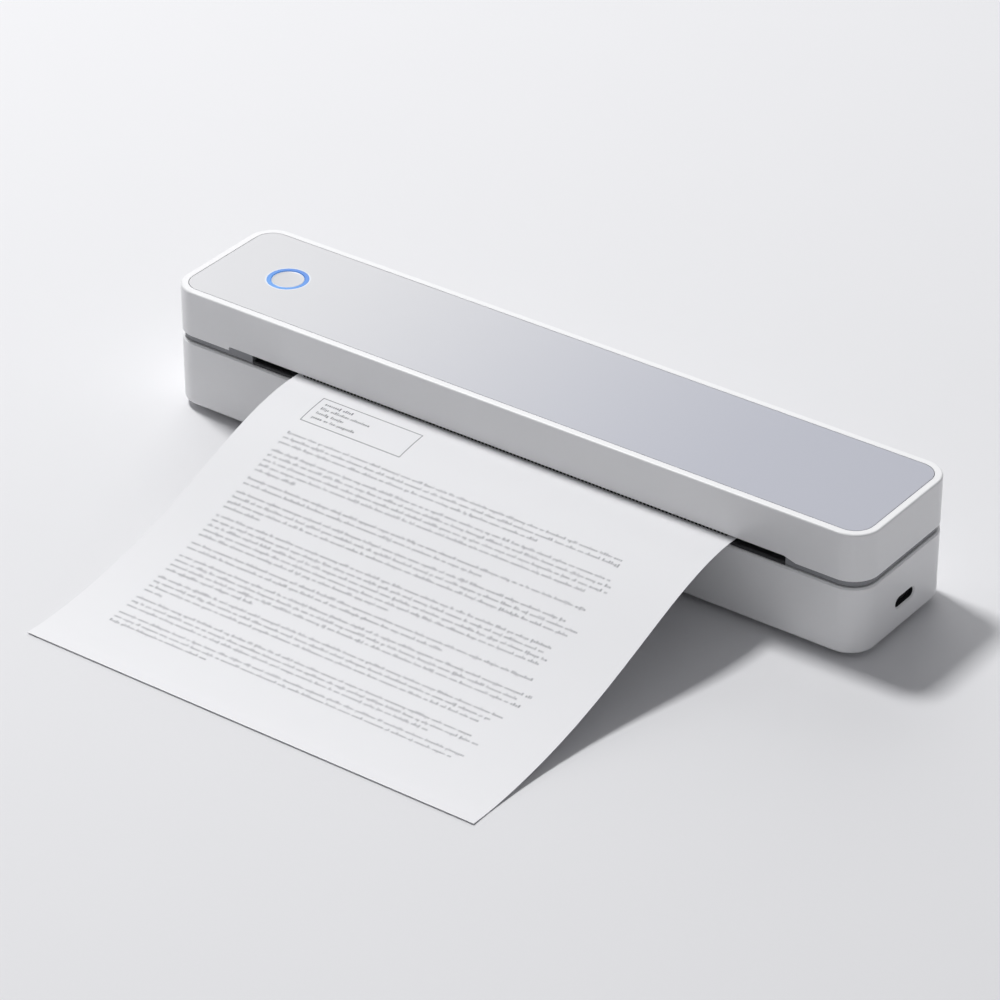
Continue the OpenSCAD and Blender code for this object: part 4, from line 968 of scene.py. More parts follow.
@dataclass
class LowerShell:
    """The white lower case with its charging port, its posts and its recesses for feet and screws."""

    corner: float = 11.5
    bottom_round: float = 1.8
    top_chamfer: float = 0.6
    wall: float = 2.2
    port: tuple[float, float] = (13.0, 4.3)
    port_z: float = 14.43
    port_bevel: float = 0.55
    port_depth: float = 4.0
    foot_recess_r: float = 5.1
    post_r: float = 4.0
    post_top: float = 16.0
    bore_r: float = 1.45
    head_recess_r: float = 2.7
    head_recess_top: float = 5.5
    edge: float = 0.15

    def port_tools(self, wall_x: float) -> list[bmesh.types.BMesh]:
        """Makes the cutters for the port's opening and for the bevel round it.

        Args:
            wall_x: the case's right face.

        Returns:
            The straight cutter and the flared one.
        """
        width, height = self.port
        outline = Workshop.pill(width, height, self.port_z)
        straight = Workshop.prism(outline, Axis.X, wall_x - self.port_depth, wall_x + OVER)
        flare = Workshop.prism(outline, Axis.X, wall_x - self.port_bevel, wall_x + self.port_bevel)
        grow = 2 * self.port_bevel
        flat = (width - height) / 2
        for vert in Workshop.end_face(flare, (1, 0, 0)).verts:
            side = vert.co.y / max(abs(vert.co.y), TINY)
            centre = Vector((vert.co.x, side * min(abs(vert.co.y), flat), self.port_z))
            vert.co += (vert.co - centre).normalized() * grow
        return [straight, flare]

    def build(self) -> None:
        """Builds the shell with its openings, and hides the plain node."""
        lo, hi = low("lower_case"), high("lower_case")
        bm = Workshop.rounded_block(lo, hi, self.corner)
        Workshop.round_rim(bm, Workshop.end_face(bm, (0, 0, -1)), self.bottom_round, steps=6)
        Workshop.round_rim(bm, Workshop.end_face(bm, (0, 0, 1)), self.top_chamfer, steps=1)
        Workshop.sink(bm, Workshop.end_face(bm, (0, 0, 1)), self.wall - self.top_chamfer,
                      hi.z - lo.z - self.wall)
        floor_z = lo.z + self.wall
        places = [middle_line(*pair, Axis.Z) for pair in Workshop.solids("case_screws")]
        posts = [Workshop.rod(self.post_r, floor_z - OVER, self.post_top, place, Facets.BORE)
                 for place in places]
        bm = Workshop.carve(bm, posts, "UNION")
        recess = [(0, 0), (self.head_recess_r, 0), (self.head_recess_r, self.head_recess_top),
                  (self.bore_r, self.head_recess_top), (self.bore_r, self.post_top + OVER),
                  (0, self.post_top + OVER)]
        tools = [Workshop.turned(recess, place, steps=Facets.BORE) for place in places]
        feet_top = high("rubber_feet").z
        tools += [Workshop.rod(self.foot_recess_r, 0, feet_top, middle_line(*pair, Axis.Z), Facets.SMALL)
                  for pair in Workshop.solids("rubber_feet")]
        tools += self.port_tools(hi.x)
        case = Workshop.mesh_object("case_shell", Workshop.carve(bm, tools))
        Workshop.dress(case, SHELL_WHITE, "base", ["lower_case"], edge_mm=self.edge)


@dataclass
class Feet:
    """Four rubber feet, each with a rounded edge and a shallow hollow below."""

    edge_r: float = 0.7
    hollow_r: float = 3.4
    hollow: float = 0.3

    def build(self) -> None:
        """Builds the feet and hides the plain node."""
        parts = []
        for lo, hi in Workshop.solids("rubber_feet"):
            r = (hi.x - lo.x) / 2
            edge = [(r - self.edge_r * (1 - math.cos(a)), self.edge_r * (1 - math.sin(a)))
                    for a in quarter(5)]
            profile = [(0, hi.z), (r, hi.z), *edge, (self.hollow_r, 0),
                       (self.hollow_r - self.hollow, self.hollow), (0, self.hollow)]
            parts.append(Workshop.turned(profile, middle_line(lo, hi, Axis.Z), steps=Facets.SMALL))
        feet = Workshop.mesh_object("feet", Workshop.join(parts))
        Workshop.dress(feet, FOOT_RUBBER, "base", ["rubber_feet"])


@dataclass
class CoverShell:
    """The white cover with its rim, its front notch, its rear inlet and the well for the light ring."""

    corner: float = 11.5
    rim_round: float = 0.8
    rim: float = 3.4
    gap: float = 0.25
    wall: float = 2.2
    roof: float = 1.8
    parting: float = 3.2
    notch_rise: float = 1.6
    notch_left: float = -135.7
    notch_right: float = 131.3
    notch_slope: float = 5.3
    inlet_over: float = 11.0
    tear_slit: tuple[float, float] = (0.17, 0.63)
    slit_gap: float = 0.1
    sleeve_r: float = 7.58
    post_r: float = 3.0
    post_into: float = 0.5
    edge: float = 0.15

    def openings(self, lo: Vector, hi: Vector) -> list[bmesh.types.BMesh]:
        """Makes the cutters for the notch, the inlet, the tear bar's slit and the ring's well.

        Args:
            lo: the cover's lowest corner.
            hi: its highest corner.

        Returns:
            The cutters.
        """
        top = lo.z + self.notch_rise
        notch_end = self.notch_right + self.notch_slope
        notch = [(self.notch_left, lo.z - OVER), (self.notch_left, top), (self.notch_right, top),
                 (notch_end, lo.z), (notch_end, lo.z - OVER)]
        sheet_lo, sheet_hi = low("paper_sheet"), high("paper_sheet")
        bar_lo, bar_hi = low("tear_bar"), high("tear_bar")
        ring_lo, ring_hi = low("light_ring"), high("light_ring")
        well = Workshop.rod(self.sleeve_r, ring_lo.z - OVER, hi.z, middle_line(ring_lo, ring_hi, Axis.Z),
                            Facets.WELL)
        return [
            Workshop.prism(notch, Axis.Y, lo.y - OVER, lo.y + self.wall + OVER),
            Workshop.box((sheet_lo.x - self.inlet_over, hi.y - self.wall - OVER, lo.z - OVER),
                         (sheet_hi.x + self.inlet_over, hi.y + OVER, top)),
            Workshop.box((bar_lo.x - self.slit_gap, lo.y + self.tear_slit[0], top - OVER),
                         (bar_hi.x + self.slit_gap, lo.y + self.tear_slit[1], bar_hi.z + self.slit_gap)),
            well]

    def build(self) -> None:
        """Builds the cover and hides the plain node."""
        lo, hi = low("top_cover"), high("top_cover")
        lo.z = high("lower_case").z + self.parting
        plate_z = low("top_plate").z
        roof_z = plate_z - self.roof
        bm = Workshop.rounded_block(lo, hi, self.corner)
        Workshop.round_rim(bm, Workshop.end_face(bm, (0, 0, 1)), self.rim_round)
        Workshop.sink(bm, Workshop.end_face(bm, (0, 0, 1)), self.rim - self.gap - self.rim_round,
                      hi.z - plate_z)
        Workshop.sink(bm, Workshop.end_face(bm, (0, 0, -1)), self.wall, roof_z - lo.z)
        liner_z = high("cover_liner").z
        posts = [Workshop.rod(self.post_r, liner_z, roof_z + self.post_into, middle_line(*pair, Axis.Z),
                              Facets.BORE) for pair in Workshop.solids("liner_screws")]
        bm = Workshop.carve(bm, posts, "UNION")
        bm = Workshop.carve(bm, self.openings(lo, hi))
        cover = Workshop.mesh_object("cover_shell", bm)
        Workshop.dress(cover, SHELL_WHITE, "cover", ["top_cover"], edge_mm=self.edge)


@dataclass
class TopPlate:
    """The satin plate, with a fine cut edge all round and a hole for the light ring."""

    corner: float = 8.1
    cut_edge: float = 0.12
    ring_fit: float = 0.05

    def build(self) -> None:
        """Builds the plate and hides the plain node."""
        lo, hi = low("top_plate"), high("top_plate")
        ring_lo, ring_hi = low("light_ring"), high("light_ring")
        hole_r = (ring_hi.x - ring_lo.x) / 2 + self.ring_fit
        bm = Workshop.rounded_block(lo, hi, self.corner)
        Workshop.round_rim(bm, Workshop.end_face(bm, (0, 0, 1)), self.cut_edge, steps=2)
        hole = Workshop.rod(hole_r, lo.z - OVER, hi.z + OVER, middle_line(ring_lo, ring_hi, Axis.Z),
                            Facets.DISC)
        plate = Workshop.mesh_object("satin_plate", Workshop.carve(bm, [hole]))
        Workshop.dress(plate, PLATE_SATIN, "cover", ["top_plate"])


@dataclass
class RingAndButton:
    """The light ring, flush in the plate, and the dished power button inside it."""

    inner_r: float = 6.98
    sleeve_r: float = 7.48
    ring_edge: float = 0.12
    flange_r: float = 7.33
    flange: float = 0.8
    button_gap: float = 0.18
    button_edge: float = 0.25
    dish: float = 0.38

    def ring(self, centre: Vector) -> None:
        """Builds the light ring.

        Args:
            centre: the ring's middle, at height 0.
        """
        lo, hi = low("light_ring"), high("light_ring")
        outer, plate_z, e = (hi.x - lo.x) / 2, low("top_plate").z, self.ring_edge
        profile = [(self.inner_r, lo.z), (self.sleeve_r, lo.z), (self.sleeve_r, plate_z), (outer, plate_z),
                   (outer, hi.z - e), (outer - e, hi.z), (self.inner_r + e, hi.z), (self.inner_r, hi.z - e),
                   (self.inner_r, lo.z)]
        ring = Workshop.mesh_object("ring_of_light", Workshop.turned(profile, centre, steps=Facets.RING))
        Workshop.dress(ring, RING_LIGHT, "cover", ["light_ring"])

    def button(self, centre: Vector) -> None:
        """Builds the button with its rounded edge and its shallow dish.

        Args:
            centre: the button's middle, at height 0.
        """
        lo, hi = low("power_button"), high("power_button")
        cap_r = self.inner_r - self.button_gap
        edge = [(cap_r - self.button_edge * (1 - math.cos(a)), hi.z - self.button_edge * (1 - math.sin(a)))
                for a in quarter(4)]
        rim_r = edge[-1][0]
        dish = [(rim_r * math.cos(a), hi.z - self.dish * math.sin(a)) for a in quarter(12)[1:-1]]
        profile = [(0, lo.z), (self.flange_r, lo.z), (self.flange_r, lo.z + self.flange),
                   (cap_r, lo.z + self.flange), *edge, *dish, (0, hi.z - self.dish)]
        button = Workshop.mesh_object("button_cap", Workshop.turned(profile, centre, steps=Facets.DISC))
        Workshop.dress(button, BUTTON_SATIN, "power_button", ["power_button"])

    def build(self) -> None:
        """Builds both round their common centre."""
        centre = middle_line(low("light_ring"), high("light_ring"), Axis.Z)
        self.ring(centre)
        self.button(centre)


@dataclass
class TearBar:
    """The toothed steel strip above the sheet, with teeth blunt enough to show from afar."""

    pitch: float = 1.7
    depth: float = 0.85
    forward: float = 0.2
    clear: float = 0.08
    tip: tuple[float, float] = (0.3, 0.6)

    def build(self) -> None:
        """Builds the strip and hides the plain node."""
        lo, hi = low("tear_bar"), high("tear_bar")
        tip_z = lo.z - self.clear
        valley_z = tip_z + self.depth
        teeth = []
        for i in range(round((hi.x - lo.x) / self.pitch)):
            teeth.append((lo.x + i * self.pitch, valley_z))
            teeth += [(lo.x + (i + part) * self.pitch, tip_z) for part in self.tip]
        teeth += [(hi.x, valley_z), (hi.x, hi.z), (lo.x, hi.z)]
        strip = Workshop.prism(teeth, Axis.Y, lo.y - self.forward, hi.y - self.forward)
        bar = Workshop.mesh_object("toothed_strip", strip)
        Workshop.dress(bar, TEAR_STEEL, "cover", ["tear_bar"])


@dataclass
class UsbPort:
    """The charging socket: a folded shell, a thin tongue and its contacts."""

    skin: float = 0.3
    back: float = 1.0
    tongue: tuple[float, float] = (6.7, 0.7)
    tongue_in: float = 0.6
    tongue_root: float = 0.1
    tongue_edge: float = 0.12
    contacts: int = 12
    contact_pitch: float = 0.5
    contact_w: float = 0.25
    contact_in: tuple[float, float] = (1.0, 0.9)
    contact_rise: float = 0.03
    end_steps: int = 10
    opening: tuple[float, float] = (12.96, 4.26)
    lining_skin: float = 0.3
    lining: tuple[float, float] = (0.05, 1.7)

    def surround(self, mouth_x: float, socket: tuple[float, float], middle_z: float) -> None:
        """Builds a black lining between the case's opening and the socket's mouth, as a real insert would
        be, and as painted shade that keeps the opening dark.

        Args:
            mouth_x: where the socket's mouth is.
            socket: the socket's width and height.
            middle_z: the height of its middle.
        """
        start, end = (mouth_x + step for step in self.lining)
        width, height = self.opening
        skin = 2 * self.lining_skin
        outer = Workshop.prism(Workshop.pill(width, height, middle_z), Axis.X, start, end)
        inner = Workshop.prism(Workshop.pill(width - skin, height - skin, middle_z), Axis.X,
                               start + self.lining_skin, end + OVER)
        mouth = Workshop.prism(Workshop.pill(*socket, middle_z, self.end_steps), Axis.X,
                               start - OVER, start + OVER)
        # painted shade: the black lining keeps the opening dark
        lining = Workshop.mesh_object("port_shade_lining", Workshop.carve(outer, [inner, mouth]))
        Workshop.dress(lining, INNER_BLACK, "base")

    def build(self) -> None:
        """Builds the socket and hides the plain node."""
        lo, hi = low("usb_receptacle"), high("usb_receptacle")
        middle_z = (lo.z + hi.z) / 2
        size = (hi.y - lo.y, hi.z - lo.z)
        self.surround(hi.x, size, middle_z)
        shell = Workshop.prism(Workshop.pill(*size, middle_z, self.end_steps), Axis.X, lo.x, hi.x)
        Workshop.sink(shell, Workshop.end_face(shell, (1, 0, 0)), self.skin, hi.x - lo.x - self.back)
        socket = Workshop.mesh_object("port_socket", shell)
        Workshop.dress(socket, PORT_STEEL, "base", ["usb_receptacle"])
        half_w, half_t = self.tongue[0] / 2, self.tongue[1] / 2
        root_x, tip_x = lo.x + self.back - self.tongue_root, hi.x - self.tongue_in
        tongue = Workshop.box((root_x, -half_w, middle_z - half_t), (tip_x, half_w, middle_z + half_t))
        piece = Workshop.mesh_object("port_tongue", tongue)
        Workshop.dress(piece, PORT_STEEL, "base", edge_mm=self.tongue_edge)
        start, end = root_x + self.contact_in[0], tip_x - self.contact_in[1]
        half = self.contact_w / 2
        pads = bmesh.new()
        for i in range(self.contacts):
            y = (i - (self.contacts - 1) / 2) * self.contact_pitch
            for z in (middle_z - half_t, middle_z + half_t):
                Workshop.add_box(pads, (start, y - half, z - self.contact_rise),
                                 (end, y + half, z + self.contact_rise))
        Workshop.dress(Workshop.mesh_object("port_contacts", pads), CONTACT_NICKEL, "base")


@dataclass
class ScrewSet:
    """The screws of one node: domed heads with a cross recess, and shanks with a rolled thread.

    Attributes:
        node: the node that holds the screws.
        shank_r: radius of the shank.
        head_h: height of the head.
        body: the body that they ride on.
        heads: the direction that the heads look.
        thread_pitch: distance between two threads.
        thread_in: where the first thread starts below the head.
        thread_root: radius between threads, as a share of the shank's.
        dome: radius and depth of points on the head, as shares of the head's.
        point: radius of points near the end and their way from it, as shares of the shank's radius.
        cross: half length and half width of the recess, as shares of the head's radius.
        cross_depth: depth of the recess, as a share of the head's height.
        cross_over: how far the recess's cutter stands over the head.
    """

    node: str
    shank_r: float
    head_h: float
    body: str
    heads: Vector
    thread_pitch: float = 0.5
    thread_in: float = 0.2
    thread_root: float = 0.84
    dome: tuple[tuple[float, float], ...] = (
        (0, 0.04), (0.5, 0.02), (0.8, 0.12), (0.95, 0.4), (1, 0.8), (1, 1))
    point: tuple[tuple[float, float], ...] = ((0.8, 0.6), (0.4, 0), (0, 0))
    cross: tuple[float, float] = (0.5, 0.11)
    cross_depth: float = 0.55
    cross_over: float = 0.2

    def pattern(self, head_r: float, length: float) -> bmesh.types.BMesh:
        """Makes one screw at the origin, with its head's top at 0 and its point towards +Z.

        Args:
            head_r: the head's radius.
            length: the whole length.

        Returns:
            A new bmesh.
        """
        h, r = self.head_h, self.shank_r
        profile = [(radius * head_r, depth * h) for radius, depth in self.dome] + [(r, h)]
        for i in range(int((length - h - r) / self.thread_pitch)):
            z = h + self.thread_in + i * self.thread_pitch
            profile += [(r, z), (self.thread_root * r, z + 0.5 * self.thread_pitch)]
        profile += [(radius * r, length - back * r) for radius, back in self.point]
        long, thin = (share * head_r for share in self.cross)
        depth = self.cross_depth * h
        arms = ((long, thin), (thin, long))
        cross = [Workshop.box((-x, -y, -self.cross_over), (x, y, depth)) for x, y in arms]
        return Workshop.carve(Workshop.turned(profile, (0, 0, 0), steps=Facets.SCREW), cross)

    def build(self) -> None:
        """Builds every screw of the node in its place, and hides the plain node."""
        parts = []
        turn = Vector((0, 0, -1)).rotation_difference(self.heads).to_matrix().to_4x4()
        along = max(range(3), key=lambda i: abs(self.heads[i]))
        across = (along + 1) % 3
        for lo, hi in Workshop.solids(self.node):
            screw = self.pattern((hi[across] - lo[across]) / 2, hi[along] - lo[along])
            top = (lo + hi) / 2
            top[along] = hi[along] if self.heads[along] > 0 else lo[along]
            screw.transform(Matrix.Translation(top) @ turn)
            parts.append(screw)
        made = Workshop.mesh_object(self.node + "_detail", Workshop.join(parts))
        Workshop.dress(made, SCREW_STEEL, self.body, [self.node])


@dataclass
class Eased:
    """A node whose shape stays, with its edges eased as the tool or the press leaves them.

    Attributes:
        node: the node.
        finish: its surface.
        body: the body that it rides on.
        edge: width of the eased edges.
    """

    node: str
    finish: Finish
    body: str
    edge: float

    def build(self) -> None:
        """Copies the node, eases its edges and hides the plain node."""
        piece = Workshop.mesh_object(self.node + "_eased", Workshop.from_node(self.node))
        Workshop.dress(piece, self.finish, self.body, [self.node], edge_mm=self.edge)


@dataclass
class Roller:
    """The platen: ground rubber with chamfered ends on a turned steel shaft."""

    chamfer: float = 0.5
    shaft_chamfer: float = 0.35
    shaft_gap: float = 0.02
    groove: float = 0.12

    def build(self) -> None:
        """Builds the rubber and the shaft, and hides the plain nodes."""
        lo, hi = low("platen_rubber"), high("platen_rubber")
        shaft_lo, shaft_hi = low("platen_shaft"), high("platen_shaft")
        centre = middle_line(lo, hi, Axis.X)
        r, c = (hi.z - lo.z) / 2, self.chamfer
        shaft_r = (shaft_hi.z - shaft_lo.z) / 2
        bore = shaft_r + self.shaft_gap
        rubber = [(bore, lo.x), (r - c, lo.x), (r, lo.x + c), (r, hi.x - c), (r - c, hi.x), (bore, hi.x),
                  (bore, lo.x)]
        sleeve = Workshop.mesh_object("roller_rubber", Workshop.turned(rubber, centre, Axis.X))
        Workshop.dress(sleeve, PLATEN_RUBBER, "platen", ["platen_rubber"])
        s, k, root = shaft_r, self.shaft_chamfer, shaft_r - self.groove
        steps = [(0, shaft_lo.x), (s - k, shaft_lo.x), (s, shaft_lo.x + k)]
        for clip_lo, clip_hi in Workshop.solids("shaft_clips"):
            steps += [(s, clip_lo.x), (root, clip_lo.x), (root, clip_hi.x), (s, clip_hi.x)]
        steps += [(s, shaft_hi.x - k), (s - k, shaft_hi.x), (0, shaft_hi.x)]
        shaft = Workshop.mesh_object("roller_shaft", Workshop.turned(steps, centre, Axis.X, Facets.SMALL))
        Workshop.dress(shaft, SHAFT_STEEL, "platen", ["platen_shaft"])


@dataclass
class Motor:
    """The motor's drawn can with its boss, its rolled edges and its end cap."""

    boss_r: float = 3.0
    boss: float = 1.2
    edge: float = 0.8
    cap_in: float = 1.6
    cap_step: float = 0.3
    bore: float = 1.05
    bore_depth: float = 8.0

    def build(self) -> None:
        """Builds the can and hides the plain node."""
        lo, hi = low("motor_can"), high("motor_can")
        r, face = (hi.z - lo.z) / 2, lo.x + self.boss
        cap_r, cap_x, bore_end = r - self.cap_step, hi.x - self.cap_in, lo.x + self.bore_depth
        profile = [(self.bore, lo.x), (self.boss_r, lo.x), (self.boss_r, face)]
        profile += [(r - self.edge + self.edge * math.sin(a), face + self.edge * (1 - math.cos(a)))
                    for a in quarter(4)]
        profile += [(r, cap_x), (cap_r, cap_x + self.cap_step), (cap_r, hi.x), (0, hi.x), (0, bore_end),
                    (self.bore, bore_end), (self.bore, lo.x)]
        can = Workshop.turned(profile, middle_line(lo, hi, Axis.X), Axis.X, Facets.CAN)
        Workshop.dress(Workshop.mesh_object("motor_drawn_can", can), MOTOR_STEEL, "base", ["motor_can"])


@dataclass
class Battery:
    """Cells end to end, each a shrink sleeve over a steel can with a cap at its right end.

    Attributes:
        fold: radius over which the sleeve folds round the can's ends.
        film: thickness of the sleeve.
        film_in: where the sleeve's outer face lies inside the cell's length.
        film_under: where its inner face lies.
        neck: where the groove below the cap lies.
        groove: depth of that groove.
        groove_half: half its width.
        rim_in: how far the sleeve's ends reach in over the can's ends.
        can_gap: gap between sleeve and can.
        can_in: where the can's ends lie inside the cell's length.
        disc_in: where the flat discs at the can's left end start and stop.
        disc_x: depth of the step round the left disc, and of the can's shoulder.
        shoulder_x: depth of the can's right shoulder, and of the step up to its cap.
        cap_r: radius of the cap.
        cap_foot: how much wider the cap's foot is.
    """

    fold: float = 0.7
    film: float = 0.12
    film_in: float = 0.2
    film_under: float = 0.35
    neck: float = 1.9
    groove: float = 0.35
    groove_half: float = 0.5
    rim_in: float = 3.2
    can_gap: float = 0.1
    can_in: float = 0.05
    disc_in: tuple[float, float] = (2.2, 2.0)
    disc_x: tuple[float, float] = (0.4, 0.45)
    shoulder_x: tuple[float, float] = (0.55, 0.5)
    cap_r: float = 3.4
    cap_foot: float = 0.6

    def sleeve(self, r: float, left: float, right: float) -> list[tuple[float, float]]:
        """Gives the outline of one sleeve, from its left end round to the same point.

        Args:
            r: the cell's radius.
            left: the cell's left end.
            right: its right end.

        Returns:
            Radius and X of each point.
        """
        inner, rim, neck = r - self.film, r - self.rim_in, right - self.neck
        under, start = left + self.film_under, left + self.film_in
        return [
            (rim, under), (rim, start), (r - self.fold, start), (r, left + self.fold + self.film_in),
            (r, neck - 2 * self.groove_half), (r - self.groove, neck - self.groove_half),
            (r - self.groove, neck), (r, neck + self.groove_half), (r, right - self.fold),
            (r - self.fold, right - self.film_in), (rim, right - self.film_in),
            (rim, right - self.film_under), (inner - self.fold, right - self.shoulder_x[1]),
            (inner - self.groove, neck), (inner, left + self.fold + self.film_in + self.can_gap),
            (inner - self.fold, under), (rim, under)]

    def can(self, r: float, left: float, right: float) -> list[tuple[float, float]]:
        """Gives the outline of one can, from its left end to its cap.

        Args:
            r: the cell's radius.
            left: the cell's left end.
            right: its right end.

        Returns:
            Radius and X of each point.
        """
        core = r - self.film - self.fold - self.can_gap
        wide, narrow = self.disc_in
        step, edge = self.disc_x
        shoulder, foot = self.shoulder_x
        return [
            (0, left + self.can_in), (core - wide, left + self.can_in), (core - narrow, left + step),
            (core, left + edge), (core, right - shoulder), (core - narrow, right - foot),
            (self.cap_r + self.cap_foot, right - foot), (self.cap_r, right - self.can_in),
            (0, right - self.can_in)]

    def build(self) -> None:
        """Builds the sleeves and the cans, and hides the plain node."""
        sleeves, cans = [], []
        for lo, hi in Workshop.solids("battery_cells"):
            centre, r = middle_line(lo, hi, Axis.X), (hi.z - lo.z) / 2
            sleeves.append(Workshop.turned(self.sleeve(r, lo.x, hi.x), centre, Axis.X, Facets.CAN))
            cans.append(Workshop.turned(self.can(r, lo.x, hi.x), centre, Axis.X, Facets.SMALL))
        sleeve = Workshop.mesh_object("cell_sleeves", Workshop.join(sleeves))
        Workshop.dress(sleeve, CELL_WRAP, "base", ["battery_cells"])
        Workshop.dress(Workshop.mesh_object("cell_cans", Workshop.join(cans)), CONTACT_NICKEL, "base")


@dataclass
class ChipPins:
    """The small pins beside the flat chips of the main board.

    Attributes:
        pitch: distance between pins.
        width: width of a pin.
        reach: how far it stands out of the chip.
        sunk: how far it goes into the chip.
        height: its thickness.
        margin: length of the chip without pins, both ends together.
        least: length of the shortest chip that has pins.
        most_high: height of the tallest chip that has pins.
    """

    pitch: float = 1.27
    width: float = 0.42
    reach: float = 0.9
    sunk: float = 0.05
    height: float = 0.18
    margin: float = 1.0
    least: float = 5.0
    most_high: float = 2.4

    def build(self) -> None:
        """Builds the pins along both long sides of each flat chip."""
        pins = bmesh.new()
        for lo, hi in Workshop.solids("board_chips"):
            if hi.x - lo.x < self.least or hi.z - lo.z > self.most_high:
                continue
            count = int((hi.x - lo.x - self.margin) / self.pitch)
            rows = ((lo.y - self.reach, lo.y + self.sunk), (hi.y - self.sunk, hi.y + self.reach))
            for i in range(count):
                x = (lo.x + hi.x) / 2 + (i - (count - 1) / 2) * self.pitch
                for y0, y1 in rows:
                    Workshop.add_box(pins, (x - self.width / 2, y0, lo.z),
                                     (x + self.width / 2, y1, lo.z + self.height))
        Workshop.dress(Workshop.mesh_object("chip_pins", pins), CONTACT_NICKEL, "base")


@dataclass
class HeadSprings:
    """Coil springs between the bracket and the print head.

    Attributes:
        wire_r: radius of the wire.
        coil_r: radius of the coil's middle line.
        turns: turns of one spring.
        steps: facets on one turn.
        wire_steps: facets round the wire.
    """

    wire_r: float = 0.28
    coil_r: float = 2.2
    turns: int = 5
    steps: int = 32
    wire_steps: int = 10

    def build(self) -> None:
        """Winds the springs and hides the plain node."""
        wound = []
        for lo, hi in Workshop.solids("head_springs"):
            centre = middle_line(lo, hi, Axis.Z)
            z0, z1 = lo.z + self.wire_r, hi.z - self.wire_r
            bm = bmesh.new()
            start = Matrix.Translation(centre + Vector((self.coil_r, 0, z0)))
            ring = bmesh.ops.create_circle(
                bm, cap_ends=False, segments=self.wire_steps, radius=self.wire_r,
                matrix=start @ Matrix.Rotation(math.pi / 2, 4, "X"))["verts"]
            edges = list({e for v in ring for e in v.link_edges})
            count = self.turns * self.steps
            bmesh.ops.spin(bm, geom=list(ring) + edges, cent=centre, axis=(0, 0, 1),
                           dvec=(0, 0, (z1 - z0) / count), angle=math.tau * self.turns, steps=count,
                           use_merge=False)
            bmesh.ops.remove_doubles(bm, verts=list(bm.verts), dist=SAME_POINT)
            bmesh.ops.holes_fill(bm, edges=list(bm.edges), sides=self.wire_steps)
            bmesh.ops.recalc_face_normals(bm, faces=list(bm.faces))
            wound.append(bm)
        springs = Workshop.mesh_object("springs_wound", Workshop.join(wound))
        Workshop.dress(springs, SPRING_STEEL, "cover", ["head_springs"], sharp=SHARP_ROUND)


def smooth_path(points: Sequence[Sequence[float]], steps: int) -> list[Vector]:
    """Runs one smooth curve through given points.

    Args:
        points: the points, in order.
        steps: new points on each stretch.

    Returns:
        Close points on the curve, both ends among them.
    """
    given = [Vector(p) for p in points]
    padded = [given[0] * 2 - given[1], *given, given[-1] * 2 - given[-2]]
    path = []
    for a, b, c, d in zip(padded, padded[1:], padded[2:], padded[3:]):
        for i in range(steps):
            t = i / steps
            path.append(0.5 * (2 * b + (c - a) * t + (2 * a - 5 * b + 4 * c - d) * t ** 2
                               + (3 * b - a - 3 * c + d) * t ** 3))
    return [*path, given[-1]]


@dataclass
class Lead:
    """A round insulated lead inside the printer, fixed at both ends.

    Attributes:
        node: the CAD node that it stands for.
        points: listed points of its route.
        radius: its radius.
        finish: its surface.
        body: the body that it rides on.
        steps: new points on each stretch of the route.
        round_steps: Blender's measure of its roundness.
    """

    node: str
    points: tuple[tuple[float, float, float], ...]
    radius: float
    finish: Finish
    body: str
    steps: int = 5
    round_steps: int = 3

    def build(self) -> None:
        """Builds the lead as a smooth tube and hides the plain node."""
        curve = bpy.data.curves.new(self.node + "_path", "CURVE")
        curve.dimensions = "3D"
        curve.bevel_depth = self.radius * MM
        curve.bevel_resolution = self.round_steps
        curve.use_fill_caps = True
        path = smooth_path(self.points, self.steps)
        spline = curve.splines.new("POLY")
        spline.points.add(len(path) - 1)
        for point, place in zip(spline.points, path):
            point.co = (*(place * MM), 1.0)
        holder = bpy.data.objects.new(self.node + "_path", curve)
        bpy.context.scene.collection.objects.link(holder)
        graph = bpy.context.evaluated_depsgraph_get()
        mesh = bpy.data.meshes.new_from_object(holder.evaluated_get(graph))
        bpy.data.objects.remove(holder)
        lead = bpy.data.objects.new(self.node + "_round", mesh)
        bpy.context.scene.collection.objects.link(lead)
        Workshop.dress(lead, self.finish, self.body, [self.node], sharp=SHARP_ROUND)


@dataclass
class Ribbon:
    """One length of the head's flat cable, bent along a path in Y and Z.

    Attributes:
        node: the CAD node that it stands for, which gives its width.
        path: listed points of its middle line.
        body: the body that it rides on.
        thickness: its thickness.
        steps: new points on each stretch of the path.
        sharp: edges that turn by more degrees than this stay sharp.
    """

    node: str
    path: tuple[tuple[float, float], ...]
    body: str
    thickness: float = 0.3
    steps: int = 6
    sharp: float = 50.0

    def build(self) -> None:
        """Builds the ribbon as a smooth band and hides the plain node."""
        lo, hi = low(self.node), high(self.node)
        bm = bmesh.new()
        places = smooth_path([(0, y, z) for y, z in self.path], self.steps)
        verts = [bm.verts.new((lo.x, p.y, p.z)) for p in places]
        edges = [bm.edges.new(pair) for pair in zip(verts, verts[1:])]
        made = bmesh.ops.extrude_edge_only(bm, edges=edges)["geom"]
        moved = [g for g in made if isinstance(g, bmesh.types.BMVert)]
        bmesh.ops.translate(bm, verts=moved, vec=(hi.x - lo.x, 0, 0))
        bmesh.ops.recalc_face_normals(bm, faces=list(bm.faces))
        bm.normal_update()
        for vert in bm.verts:
            vert.co -= vert.normal * self.thickness / 2
        bmesh.ops.solidify(bm, geom=list(bm.faces), thickness=-self.thickness)
        bmesh.ops.recalc_face_normals(bm, faces=list(bm.faces))
        ribbon = Workshop.mesh_object(self.node + "_flex", bm)
        Workshop.dress(ribbon, RIBBON_BLACK, self.body, [self.node], sharp=self.sharp)


